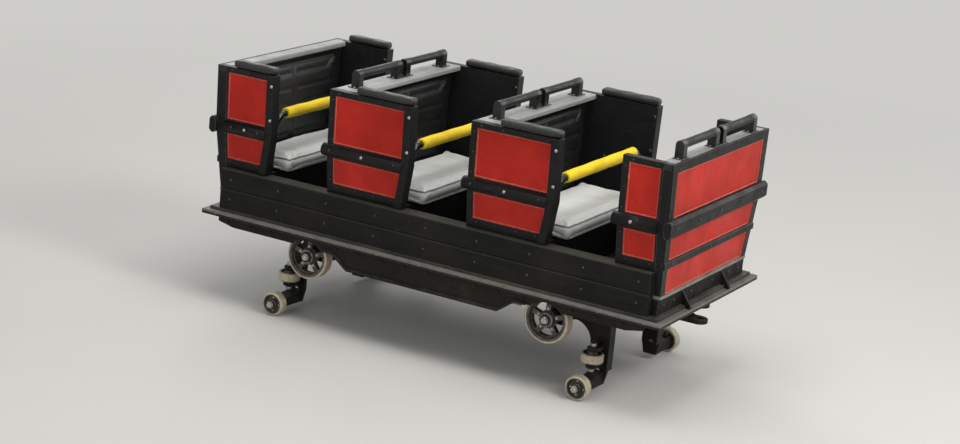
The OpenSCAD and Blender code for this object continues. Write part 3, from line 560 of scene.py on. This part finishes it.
wheelKinds = {
    # kind: axis of turning, depth of the tread that is polished
    "wheel": (1, 0.0095), "guide": (2, 0.009), "upstop": (1, 0.009),
}
wheelEnds = ("rl", "rr", "fl", "fr")
for kind, (axis, tread) in wheelKinds.items():
    for end in wheelEnds:
        node = f"{kind}_{end}"
        low, high = corners(node)
        centre, radius = (low + high) / 2, (high - low).max() / 2
        cast = f"cast_{node}"
        finishes[cast] = wheelMaterial(newGraph(cast), tuple(centre), axis, radius, tread)
        dressNode(node, cast, 0.0012)
print("stage 4: wheels dressed")


# Lap bar sleeves

rowNames = ("rear", "mid", "fore")
sleeve = {"rings": 120, "around": 56, "bulge": 0.0012, "slit": 0.0016, "slitAt": 215, "roundEnd": 0.010,
          "hole": 0.62}


# Sleeve's radius: full size less a quarter circle at each end, plus a slow swell, less a slit at one angle
def sleeveShape(node):
    low, high = corners(node)
    middle, half = (low + high) / 2, (high - low) / 2
    y = -half[1] * np.cos(math.pi * np.linspace(0, 1, sleeve["rings"]))
    inset = np.clip((half[1] - np.abs(y)) / sleeve["roundEnd"], 0, 1)
    end = sleeve["roundEnd"] * (1 - np.sqrt(1 - (1 - inset) ** 2))
    turn = np.linspace(0, 2 * math.pi, sleeve["around"], endpoint=False)
    swell = sleeve["bulge"] * np.outer(np.sin(y * 31), np.cos(turn * 2))
    r = (half[2] - sleeve["bulge"] - end)[:, None] + swell
    gap = np.abs((turn - math.radians(sleeve["slitAt"]) + math.pi) % (2 * math.pi) - math.pi)
    r -= sleeve["slit"] * np.exp(-(gap / 0.05) ** 2)
    hole = np.full((1, sleeve["around"]), r[0].min() * sleeve["hole"])
    r, y = np.concatenate([hole, r, hole]), np.concatenate([y[:1], y, y[-1:]])[:, None]
    return gridShape(middle + np.stack([r * np.cos(turn), y + 0 * r, r * np.sin(turn)], -1), True, True)


for row in rowNames:
    node = f"lap_pad_{row}"
    piece = addPiece(f"lap_sleeve_{row}", sleeveShape(node), "foamYellow", node)
    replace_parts(piece, node)
print("stage 5: lap bar sleeves made")


# Padded pieces

cloth = {"pressure": 4.0, "frames": 20, "stretch": 12, "bend": 1.2}


def evaluatedMesh(piece):
    bpy.context.view_layer.update()
    return bpy.data.meshes.new_from_object(piece.evaluated_get(bpy.context.evaluated_depsgraph_get()))


# A closed block: points close together near the edges, pushed out to a rounded box
def roundedBlock(low, high, radius, corner=7, middle=4):
    size = (high - low) / 2
    bend = radius * (1 - np.cos(np.linspace(0, math.pi / 2, corner)))
    lines = [np.concatenate([bend - s, np.linspace(radius - s, s - radius, middle + 2)[1:-1], s - bend[::-1]])
             for s in size]
    sides = []
    for axis in range(3):
        u, v = np.meshgrid(lines[(axis + 1) % 3], lines[(axis + 2) % 3], indexing="ij")
        for sign in (-1, 1):
            side = np.empty(u.shape + (3,))
            side[..., axis], side[..., (axis + 1) % 3], side[..., (axis + 2) % 3] = sign * size[axis], u, v
            sides.append(gridShape(side))
    points, faces = joined(sides)
    inner = np.maximum(size - radius, 1e-4)
    core = np.clip(points, -inner, inner)
    away = points - core
    length = np.linalg.norm(away, axis=1, keepdims=True)
    away = np.where(length > 1e-9, away / np.maximum(length, 1e-9) * radius, 0)
    return (low + high) / 2 + core + away, faces


# Cloth under inner pressure: each point's travel is capped, and the side named in the look is held
def puffed(name, low, high, look):
    start = meshFrom(name, roundedBlock(low + look["shrink"], high - look["shrink"], look["round"]), 1e-5)
    setAll(start.modifiers.new("remesh", "REMESH"), mode="VOXEL", voxel_size=look["voxel"])
    mesh = evaluatedMesh(start)
    start.modifiers.clear()
    start.data = mesh
    before = pointsOf(mesh)
    axis, depth = look["held"]
    group = start.vertex_groups.new(name="pinned")
    group.add(np.nonzero(before[:, axis] < low[axis] + depth)[0].tolist(), 1.0, "REPLACE")
    puff = start.modifiers.new("cloth", "CLOTH")
    setAll(puff.settings, use_pressure=True, uniform_pressure_force=cloth["pressure"],
           vertex_group_mass="pinned", tension_stiffness=cloth["stretch"],
           compression_stiffness=cloth["stretch"], bending_stiffness=cloth["bend"])
    puff.settings.effector_weights.gravity = 0
    puff.point_cache.frame_end = cloth["frames"]
    for step in range(1, cloth["frames"] + 1):
        bpy.context.scene.frame_set(step)
    move = pointsOf(evaluatedMesh(start)) - before
    start.modifiers.clear()
    bpy.context.scene.frame_set(1)
    length = np.linalg.norm(move, axis=1, keepdims=True)
    move *= np.minimum(1, look["cap"] / np.maximum(length, 1e-9))
    setPoints(mesh, before + move)
    return start


def setPoints(mesh, points):
    mesh.vertices.foreach_set("co", points.astype(np.float32).ravel())
    mesh.update()


# A node's padded pieces: puffed, worked over by their own formula, and smoothed
def padNode(node, name, endings, look, work):
    pieces = []
    for ending, (low, high) in zip(endings, boxesOf(node)):
        piece = puffed(f"{name}_{ending}", low, high, look)
        worked = np.stack(work(*pointsOf(piece.data).T, low, high), 1)
        setPoints(piece.data, np.clip(worked, low - 0.001, high + look["over"]))
        piece.data.shade_smooth()
        setAll(piece.modifiers.new("smooth", "SUBSURF"), levels=1, render_levels=1)
        dress(piece, look["finish"], node)
        pieces.append(piece)
    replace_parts(pieces[0], node)
    return pieces


# A narrow dip where a distance is near nought: the bell curve of the distance over a width
def dipAt(distance, width):
    return np.exp(-(distance / width) ** 2)


piping = {"steps": 46, "evened": 4, "radius": 0.0042, "up": (0.21, 0.13, 0.97)}


# Piping: a line round each box's face towards an axis is set down on the nearest spots of the padded surface,
# evened out and carried by a round cord
def addPiping(name, pieces, node, axis, material):
    shapes = []
    flat = [k for k in range(3) if k != axis]
    for piece, (low, high) in zip(pieces, boxesOf(node)):
        outline = np.tile(high, (4, 1))
        outline[:, flat] = np.where([(0, 0), (1, 0), (1, 1), (0, 1)], high[flat], low[flat])
        share = np.linspace(0, 1, piping["steps"], endpoint=False)[None, :, None]
        path = (outline[:, None] + (np.roll(outline, -1, 0) - outline)[:, None] * share).reshape(-1, 3)
        mesh = evaluatedMesh(piece)
        faces = [tuple(face.vertices) for face in mesh.polygons]
        tree = BVHTree.FromPolygons(pointsOf(mesh).tolist(), faces)
        path = np.array([tree.find_nearest(tuple(spot))[0][:] for spot in path])
        for turn in range(piping["evened"]):
            path = path * 0.5 + (np.roll(path, 1, 0) + np.roll(path, -1, 0)) * 0.25
        shapes.append(sweptShape(path, circlePoints(piping["radius"], 10), piping["up"]))
    addPiece(name, joined(shapes), material, node)


cushion = {"finish": "cushionVinyl", "fill": 0.7, "round": 0.040, "cap": 0.014, "voxel": 0.008,
           "shrink": 0.010, "held": (2, 0.014), "over": 0.004, "seam": 0.0045, "seamWidth": 0.008,
           "hips": 0.009}


# Seat cushion: seams along its middle and behind its front roll, and hollows where one sits
def cushionWork(x, y, z, low, high):
    depth, width, height = high - low
    middle = dipAt(y, cushion["seamWidth"])
    roll = dipAt(x - high[0] + height * 0.62, cushion["seamWidth"])
    top = np.clip((z - low[2] - height * 0.55) / (height * 0.3), 0, 1)
    hips = dipAt(np.abs(y) - width / 4, 0.13) * dipAt(x - low[0] - depth * 0.42, 0.12)
    z = z - top * (cushion["seam"] * (middle + roll) + cushion["hips"] * hips)
    x = x - np.clip((x - high[0] + 0.05) / 0.05, 0, 1) * cushion["seam"] * middle
    return x, y, z


cushions = padNode("seat_cushions", "cushion", rowNames, cushion, cushionWork)
addPiping("cushion_piping", cushions, "seat_cushions", 2, "pipingVinyl")
print("stage 6: seat cushions made")

backPad = {"finish": "padVinyl", "fill": 0.6, "round": 0.018, "cap": 0.010, "voxel": 0.009, "shrink": 0.007,
           "held": (0, 0.012), "over": 0.006, "channels": 5, "channelDip": 0.006, "channelWidth": 0.010}


# Back pad: a middle seam and level channels across each half
def backWork(x, y, z, low, high):
    count = backPad["channels"]
    lines = low[2] + (high[2] - low[2]) * (np.arange(1, count + 1) + 0.35) / (count + 1.1)
    dip = dipAt(z[:, None] - lines, backPad["channelWidth"]).sum(1)
    inside = np.clip((high[1] - np.abs(y) - 0.02) / 0.03, 0, 1) * np.clip((np.abs(y) - 0.02) / 0.02, 0, 1)
    dip = np.maximum(dip * inside, dipAt(y, 0.008))
    x = x - np.clip((x - low[0] - 0.012) / 0.02, 0, 1) * backPad["channelDip"] * dip
    return x, y, z


backs = padNode("back_pads", "back_pad", rowNames, backPad, backWork)
addPiping("back_piping", backs, "back_pads", 0, "padVinyl")
print("stage 7: back pads made")

armPad = {"finish": "padVinyl", "fill": 0.6, "round": 0.0155, "cap": 0.004, "voxel": 0.005, "shrink": 0.001,
          "held": (2, 0.008), "over": 0.003, "wave": 0.0012}


# Arm pad: shallow waves run along its upper side
def armWork(x, y, z, low, high):
    rise = np.clip((z - low[2]) / (high[2] - low[2]), 0, 1)
    z = z + rise * armPad["wave"] * np.sin(x * 55) * np.sin(y * 90 + 1)
    return x, y, z


padNode("arm_pads", "arm_pad", range(1, 7), armPad, armWork)
print("stage 8: arm pads made")


# Bolts, rivets and nuts

hexBolt = {"across": 0.017, "head": 0.007, "washer": 0.0115, "washerHeight": 0.0018}
domeBolt = {"radius": 0.0085, "height": 0.0046}


def hexShape(scale):
    r, h, w, t = hexBolt["across"] / math.sqrt(3), hexBolt["head"], hexBolt["washer"], hexBolt["washerHeight"]
    washer = steppedRings([0, w * 0.97, w, w * 0.94, 0], [-0.0004, -0.0004, t * 0.8, t, t], 16)
    head = steppedRings([0, r, r, r * 0.9, 0], [t * 0.5, t * 0.5, t + h * 0.84, t + h, t + h], 6)
    points, faces = joined([washer, head])
    return points * scale, faces


def domeShape(scale):
    lift = np.radians([0, 30, 58, 90])
    radii = np.concatenate([[0, 1], np.cos(lift)]) * domeBolt["radius"]
    heights = np.concatenate([[-0.1, -0.1], np.sin(lift)]) * domeBolt["height"]
    points, faces = steppedRings(radii, heights, 12)
    return points * scale, faces


# Fasteners of one kind in one piece, from places, each with the direction it faces
def addFasteners(name, shape, scale, spots, material, node):
    places, ways = zip(*spots)
    made = copiesOf(shape(scale), places, [facing(way) for way in ways])
    addPiece(name, made, material, node, smooth=shape is domeShape)


# The same spots on both sides of the car
def mirrored(spots):
    return [((x, side * y, z), (u, side * v, w)) for (x, y, z), (u, v, w) in spots for side in (-1, 1)]


# Spots across the car's front and rear, facing out
def acrossEnds(front, rear, offsets, z):
    return [((x, y, z), (side, 0, 0)) for side, x in ((1, front), (-1, rear)) for y in offsets]


# Panel edges

panelEdge = {"width": 0.0085, "height": 0.0044, "inset": 0.0004, "frameRise": 0.006}


# Corners of a panel's outer face: the outermost places at its lowest and highest level
def outerFace(points, out, along):
    side = np.sign(points[:, out].mean())
    face = np.empty((4, 3))
    for row, level in ((face[:2], points[:, 2].min()), (face[:1:-1], points[:, 2].max())):
        ring = points[np.abs(points[:, 2] - level) < 2e-4]
        row[:, out] = side * (ring[:, out] * side).max()
        row[:, along] = ring[:, along].min(), ring[:, along].max()
        row[:, 2] = level
    normal = unit(np.cross(face[1] - face[0], face[3] - face[0]))
    return face, normal * side * np.sign(normal[out])


# A profile round a flat outline: each corner moves in along its mitre by the distance across, and out along
# the face's normal by the height
def mitredFrame(outline, normal, profile):
    inward = np.cross(normal, unit(np.roll(outline, -1, 0) - outline))
    inward *= np.sign(((outline.mean(0) - outline) * inward).sum())
    before = np.roll(inward, 1, 0)
    mitre = (inward + before) / (1 + (inward * before).sum(1, keepdims=True))
    across, out = profile[None, :, :1], profile[None, :, 1:]
    return gridShape(outline[:, None] + mitre[:, None] * across + normal * out, True, True)


# Half round bead: the cosine and sine of half a turn
arch = np.linspace(0, math.pi, 8)
beadProfile = np.stack([panelEdge["inset"] + panelEdge["width"] * (1 - np.cos(arch)) / 2,
                        panelEdge["height"] * np.sin(arch) - 0.0002], 1)
wingFaces = [outerFace(s, 1, 0) for s in solidsOf("wing_panels")]
endFaces = [outerFace(s, 0, 1) for s in solidsOf("end_panels")]
beads = joined([mitredFrame(face, normal, beadProfile) for face, normal in wingFaces + endFaces])
addPiece("panel_beads", beads, "beadRed", "wing_panels", smooth=False)
print("stage 9: panel edges made,", len(wingFaces + endFaces), "panels")

bandZ = (corners("front_wall")[1][2] + corners("sills")[1][2]) / 2 - 0.04
leftFaces = [face for face, normal in wingFaces if normal[1] > 0]
sideLines = [next(f for f in leftFaces if (f[0][2] > bandZ) == above) for above in (False, True)]


# A side's outer face at a height, and the way it faces, from the panels above or below the band
def sideAt(z):
    low, high = (sideLines[int(z > bandZ)][k] for k in (0, 3))
    slope = (high[1] - low[1]) / (high[2] - low[2])
    return low[1] + slope * (z - low[2]) + panelEdge["frameRise"], (0, 1, -slope)


# Furthest reach of a node along X or Y, near a height
def reach(node, axis, side, z, span):
    points = pointsOf(meshOf(node))
    level = points[np.abs(points[:, 2] - z) < span]
    return side * (level[:, axis] * side).max()


rivets = {"spacing": 0.115, "margin": 0.013, "endGap": 0.022, "scale": 0.52}


# Rivets round a panel, evenly spaced beside the edges given by their numbers from the bottom
def rivetSpots(face, normal, edges):
    spots = []
    for k in edges:
        start, end = face[k], face[(k + 1) % 4]
        length = np.linalg.norm(end - start)
        gap = rivets["endGap"] / length
        count = max(2, round((1 - 2 * gap) * length / rivets["spacing"]) + 1)
        away = unit(np.cross(normal, end - start))
        away *= np.sign(((start + end) / 2 - face.mean(0)) @ away)
        line = start + (end - start) * np.linspace(gap, 1 - gap, count)[:, None]
        line += away * rivets["margin"] + normal * panelEdge["frameRise"]
        spots += [(place, normal) for place in line]
    return spots


rivetPlaces = []
for face, normal in wingFaces:
    edges = [2 if face[0][2] > bandZ else 0]
    if face[0][0] > corners("rear_wings")[0][0] + 0.05:
        edges.append(3)
    rivetPlaces += rivetSpots(face, normal, edges)
for face, normal in endFaces:
    rivetPlaces += rivetSpots(face, normal, [1, 3, 2] if face[0][2] > bandZ else [1, 3])
addFasteners("frame_rivets", domeShape, rivets["scale"], rivetPlaces, "handleBlack", "front_wall")

# Dome bolts: two bright ones on each leaning upright, one in the middle of each side band
wingBolts = {"edge": 0.013, "heights": (1.167, 0.995), "upright": 0.014, "bandEnd": 0.05, "sink": 0.0006,
             "wall": 0.045}
brightSpots, blackSpots = [], []
seatWings = ("rear_wings", "mid_wings", "fore_wings")
for node in seatWings:
    x = corners(node)[1][0] - wingBolts["edge"]
    for z in wingBolts["heights"]:
        y, outward = sideAt(z)
        brightSpots.append(((x, y + wingBolts["upright"], z), outward))
bandY = reach("mid_wings", 1, 1, bandZ, 0.02) - wingBolts["sink"]
for node in (*seatWings, "nose_wings"):
    low, high = corners(node)
    ends = (low[0] + wingBolts["bandEnd"], high[0] - 1.6 * wingBolts["bandEnd"])
    brightSpots.append(((sum(ends) / 2, bandY, bandZ), (0, 1, 0)))
    if ends[1] - ends[0] > 0.15:
        blackSpots += mirrored([((x, bandY, bandZ), (0, 1, 0)) for x in ends])
addFasteners("wing_bolts", domeShape, 1.0, mirrored(brightSpots), "boltSteel", "brake_fin")
sides = [(x, z, *sideAt(z)) for (x, y, z), outward in brightSpots]
innerSpots = [((x, y - wingBolts["wall"], z), tuple(-k for k in outward)) for x, z, y, outward in sides]
addFasteners("wing_nuts", hexShape, 0.85, mirrored(innerSpots), "handleBlack", "mid_wings")

# Painted bolts: end bands, sill boards, aprons
bodyBolts = {"bandHalves": (0.42, 0.48), "bandCount": 5, "sillHeights": (0.648, 0.546), "sillCount": 9,
             "sillMargin": 0.06, "apronInset": 0.051, "apronHeight": 0.533, "apronAcross": (0.12, 0.31, 0.42)}
levels = sorted({round(float(face[k][2]), 4) for face, normal in endFaces for k in (0, 3)})
for z, half in zip(((levels[1] + levels[2]) / 2, (levels[3] + levels[4]) / 2), bodyBolts["bandHalves"]):
    front, rear = (reach(node, 0, side, z, 0.03) for node, side in (("front_wall", 1), ("rear_wall", -1)))
    blackSpots += acrossEnds(front, rear, np.linspace(-half, half, bodyBolts["bandCount"]), z)
low, high = corners("sills")
margin = bodyBolts["sillMargin"]
for x in np.linspace(low[0] + margin, high[0] - margin, bodyBolts["sillCount"]):
    blackSpots += mirrored([((x, high[1], z), (0, 1, 0)) for z in bodyBolts["sillHeights"]])
low, high = corners("end_aprons")
inset = bodyBolts["apronInset"]
blackSpots += mirrored(acrossEnds(high[0] - inset, low[0] + inset, bodyBolts["apronAcross"],
                                  bodyBolts["apronHeight"]))
addFasteners("body_bolts", domeShape, 0.9, blackSpots, "handleBlack", "sills")

trimBolts = {"height": 0.466, "count": 11, "margin": 0.08, "across": (0.1, 0.27, 0.45)}
low, high = corners("trim_rail")
trimX = np.linspace(low[0] + trimBolts["margin"], high[0] - trimBolts["margin"], trimBolts["count"])
trimSpots = [((x, high[1], trimBolts["height"]), (0, 1, 0)) for x in trimX]
trimSpots += acrossEnds(high[0], low[0], trimBolts["across"], trimBolts["height"])
addFasteners("trim_bolts", domeShape, 0.72, mirrored(trimSpots), "trimBlack", "trim_rail")

# Hexagon bolts: side frames, the coupling's sides and the brake fin's flange
chassisBolts = {"depth": 0.014, "height": 0.432, "reach": (-1.09, 1.2), "spacing": 0.13, "clear": 0.085,
                "couplingX": (1.198, 1.224), "couplingY": 0.045, "couplingZ": (0.366, 0.442), "finY": 0.026,
                "finLift": 0.008, "finMargin": 0.04, "finCount": 6}
wheelX = [corners(f"wheel_{end}")[0][0] + 0.115 for end in ("rl", "fl")]
frameFace = corners("side_frames")[1][1] - chassisBolts["depth"]
chassisSpots = [((x, frameFace, chassisBolts["height"]), (0, 1, 0))
                for x in np.arange(*chassisBolts["reach"], chassisBolts["spacing"])
                if min(abs(x - w) for w in wheelX) > chassisBolts["clear"]]
chassisSpots += [((x, chassisBolts["couplingY"], z), (0, 1, 0)) for x in chassisBolts["couplingX"]
                 for z in chassisBolts["couplingZ"]]
low, high = corners("brake_fin")
margin = chassisBolts["finMargin"]
chassisSpots += [((x, chassisBolts["finY"], high[2] - chassisBolts["finLift"]), (0, 0, -1))
                 for x in np.linspace(low[0] + margin, high[0] - margin, chassisBolts["finCount"])]
addFasteners("chassis_bolts", hexShape, 0.9, mirrored(chassisSpots), "chassisBlack", "side_frames")

# Nuts on the wheels' axles and pins, and on the lap bars' pivots
nuts = {"guide": (0.238, 0.124), "wheel": 0.529, "upstop": 0.526, "pivot": 0.738}
nutSpots = []
for end in wheelEnds:
    for kind in wheelKinds:
        x, y, z = sum(corners(f"{kind}_{end}")) / 2
        side = np.sign(y)
        if kind == "guide":
            nutSpots += [((x, y, level), (0, 0, way)) for level, way in zip(nuts["guide"], (1, -1))]
        else:
            nutSpots.append(((x, side * nuts[kind], z), (0, side, 0)))
addFasteners("axle_nuts", hexShape, 1.55, nutSpots, "boltSteel", "front_axle")
pivotSpots = []
for low, high in boxesOf("lap_brackets"):
    y = min(low[1], high[1], key=abs)
    pivotSpots.append((((low[0] + high[0]) / 2, y, nuts["pivot"]), (0, -np.sign(y), 0)))
addFasteners("pivot_nuts", hexShape, 1.1, pivotSpots, "boltSteel", "lap_brackets")

wheelBolts = {
    # kind: number, distance from the axle, height over the middle, size
    "wheel": (5, 0.051, 0.013, 0.66), "guide": (4, 0.0315, 0.0101, 0.40), "upstop": (4, 0.034, 0.01125, 0.44),
}
for kind, (count, away, rise, size) in wheelBolts.items():
    axis = wheelKinds[kind][0]
    for end in wheelEnds:
        node = f"{kind}_{end}"
        ring = circlePath(sum(corners(node)) / 2, axis, away, count, math.pi / 2)
        outward = [side * np.eye(3)[axis] for side in (-1, 1)]
        spots = [(place + way * rise, way) for way in outward for place in ring]
        addFasteners(f"bolts_{node}", hexShape, size, spots, "boltSteel", node)
print("stage 10: bolts, rivets and nuts made")


# Grab handles: ribbed grips on the bars, and plates with bolts under the posts

grip = {"radius": 0.0196, "ribs": 0.0007, "ribLength": 0.009, "collar": 0.0022, "collarLength": 0.011,
        "round": 0.003, "rings": 150, "around": 40, "drop": 0.022, "inset": 0.0415}
foot = {"height": 0.0045, "width": 0.074, "depth": 0.062, "bolt": 0.0275, "inset": 0.020, "shift": 0.0005}


# Radius of a grip: its own, a wave of ribs along it, and a collar at each end with rounded edges
def gripShape(centre, half):
    y = -half * np.cos(np.linspace(0, math.pi, grip["rings"]))
    fromEnd = half - np.abs(y)
    ribs = grip["ribs"] * np.sin(2 * math.pi * y / grip["ribLength"])
    ribs *= np.clip((fromEnd - 0.014) / 0.006, 0, 1)
    collar = grip["collar"] * np.clip((grip["collarLength"] - fromEnd) / 0.002, 0, 1)
    rounded = grip["round"] * (1 - np.sqrt(1 - (1 - np.clip(fromEnd / grip["round"], 0, 1)) ** 2))
    inner = grip["radius"] * 0.8
    radii = np.concatenate([[0, inner], grip["radius"] + ribs + collar - rounded, [inner, 0]])
    levels = np.concatenate([[-half, -half], y, [half, half]])
    return copiesOf(steppedRings(radii, levels, grip["around"]), [centre], [facing((0, 1, 0))])


square = ((-1, -1), (1, -1), (1, 1), (-1, 1))


# A flat plate with chamfered upper edges: three rectangles stepped up and in
def plateShape(centre, width, depth, height, chamfer=0.0015):
    steps = ((0, 0.0), (0, height - chamfer), (chamfer, height))
    rings = [[(x * (depth / 2 - cut), y * (width / 2 - cut), z) for x, y in square] for cut, z in steps]
    points, faces = gridShape(np.array(rings) + centre, False, True)
    return points, np.concatenate([faces, [[3, 2, 1, 0], [8, 9, 10, 11]]])


gripParts, footParts, footSpots = [], [], []
capFront = corners("end_caps")[1][0]
for low, high in boxesOf("grab_handles"):
    x, y, z = (low + high) / 2
    gripParts.append(gripShape((x, y, high[2] - grip["drop"]), (high[1] - low[1]) / 2 - grip["inset"]))
    depth = min(foot["depth"], 2 * (capFront - 0.001 - x)) if x > 1 else foot["depth"]
    for y in (low[1] + foot["inset"], high[1] - foot["inset"]):
        y += foot["shift"] * np.sign(y) * (1 if abs(y) < 0.2 else -1)
        footParts.append(plateShape((x, y, low[2]), foot["width"], depth, foot["height"]))
        footSpots += [((x, y + k * foot["bolt"], low[2] + foot["height"]), (0, 0, 1)) for k in (-1, 1)]
addPiece("handle_grips", joined(gripParts), "gripRubber", "grab_handles")
addPiece("handle_feet", joined(footParts), "handleBlack", "grab_handles", smooth=False)
addFasteners("handle_bolts", domeShape, 0.62, footSpots, "boltSteel", "brake_fin")
print("stage 11: handle grips and feet made")


# Welds

weld = {"radius": 0.0042, "ripple": 0.0007, "step": 0.0055, "up": (-0.31, -0.87, -0.38),
        "beamY": (0.3029, 0.2829), "beamZ": (0.398, 0.318), "half": 0.045, "hub": (0.438, 0.353, 0.0325),
        "post": (0.190, 0.447, 0.060, 0.0275), "lugY": 0.3035, "lugZ": (0.150, 0.230), "lugHalf": 0.028}


# A bead along a path cut into even steps: the radius swells and shrinks from step to step
def weldShape(path, closed=False):
    path = np.array(path, float)
    if closed:
        path = np.concatenate([path, path[:1]])
    lengths = np.concatenate([[0], np.cumsum(np.linalg.norm(np.diff(path, axis=0), axis=1))])
    count = max(6, int(lengths[-1] / weld["step"]))
    spots = np.linspace(0, lengths[-1], count, endpoint=not closed)
    points = np.stack([np.interp(spots, lengths, path[:, k]) for k in range(3)], 1)
    size = weld["radius"] + weld["ripple"] * np.sin(np.arange(count) * 2.1)
    return sweptShape(points, circlePoints(1, 7), weld["up"], closed, size)


weldLines, weldRings = [], []
out, postY, postZ, postRadius = weld["post"]
hubY, hubZ, hubRadius = weld["hub"]
for axle, way in zip(wheelX, (-1, 1)):
    post = axle + way * out
    a, b = axle - weld["half"], axle + weld["half"]
    top, base = weld["beamZ"]
    for side in (-1, 1):
        weldLines += [[(a, side * y, top), (a, side * y, base), (b, side * y, base)] for y in weld["beamY"]]
        weldRings += [circlePath((axle, side * hubY, hubZ), 1, hubRadius),
                      circlePath((post, side * postY, postZ), 1, postRadius)]
        lug = (post - weld["lugHalf"], post + weld["lugHalf"])
        weldLines += [[(x, side * weld["lugY"], z) for x in lug] for z in weld["lugZ"]]
for low, high in boxesOf("cross_members"):
    y = low[1] if low[1] > 0 else high[1]
    weldLines.append([(low[0], y, high[2]), (low[0], y, low[2]), (high[0], y, low[2]), (high[0], y, high[2])])
welds = [weldShape(path) for path in weldLines] + [weldShape(path, True) for path in weldRings]
addPiece("weld_beads", joined(welds), "chassisBlack", "front_axle")
print("stage 12: welds made")


# Camera, light and floor

view = {"from": (5.274, -9.635, 3.62), "at": (-0.038, 0.161, 0.527), "up": (-0.2118, 0.188, 0.9591),
        "lens": 86}


def addCamera():
    data = bpy.data.cameras.new("camera")
    setAll(data, lens=view["lens"], clip_end=200)
    camera = linked("camera", data)
    back = (Vector(view["from"]) - Vector(view["at"])).normalized()
    side = Vector(view["up"]).cross(back).normalized()
    turn = Matrix((side, back.cross(side), back)).transposed()
    camera.matrix_world = Matrix.Translation(view["from"]) @ turn.to_4x4()
    bpy.context.scene.camera = camera


studio = {
    # name: place, size, watts, colour
    "key": ((6.5, -1.5, 5.5), 3.0, 340, (1.0, 0.985, 0.96)),
    "fill": ((-1.5, -7.5, 4.0), 5.0, 100, (0.96, 0.98, 1.0)),
    "top": ((0.6, -0.8, 6.5), 4.0, 190, (1.0, 0.995, 0.98)),
    "back": ((-5.0, 5.0, 5.5), 4.0, 170, (1.0, 1.0, 1.0)),
    "left": ((2.5, 7.0, 3.0), 5.0, 90, (0.97, 0.98, 1.0)),
}
backdrop = {"tone": screen(206, 205, 201), "light": 0.38, "fade": (2.4, 8.0), "floor": (198, 197, 193),
            "stain": (190, 189, 185)}


def addLight(name, place, size, watts, colour):
    data = bpy.data.lights.new(name, "AREA")
    setAll(data, shape="DISK", size=size, energy=watts, color=colour)
    lamp = linked(name, data)
    aim = Vector((0, 0, 0.6)) - Vector(place)
    lamp.matrix_world = Matrix.Translation(place) @ aim.to_track_quat("-Z", "Y").to_matrix().to_4x4()


def addWorld():
    sky = bpy.data.worlds.new("studio")
    bpy.context.scene.world = sky
    g = Graph(sky, "World", "Background")
    g.finish(Color=(1, 1, 1, 1), Strength=backdrop["light"])
    g.cover(g.seen(), g.add("Background", {"Color": backdrop["tone"]}))


# Floor: plain paint near the car, further off an even pale tone for camera and reflections
def addFloor(half=60):
    mesh = bpy.data.meshes.new("floor")
    mesh.from_pydata([(x * half, y * half, 0) for x, y in square], [], [(0, 1, 2, 3)])
    g = newGraph("floorPale")
    tone = g.mix(g.patches(0.8, 4, 0.3, 0.7, 0, 0.25), backdrop["floor"], backdrop["stain"])
    mesh.materials.append(g.finish(Base_Color=tone, Roughness=0.9))
    distance = g.vector("LENGTH", g.place.outputs["Object"], output=1)
    glow = g.add("Emission", {"Color": backdrop["tone"]})
    g.cover(g.times(g.between(distance, *backdrop["fade"]), g.seen()), glow)
    linked("floor", mesh)


addCamera()
addFloor()
addWorld()
for name, (place, size, watts, colour) in studio.items():
    addLight(name, place, size, watts, colour)
bpy.context.scene.view_settings.view_transform = "Standard"
print("stage 13: camera, light and floor set")
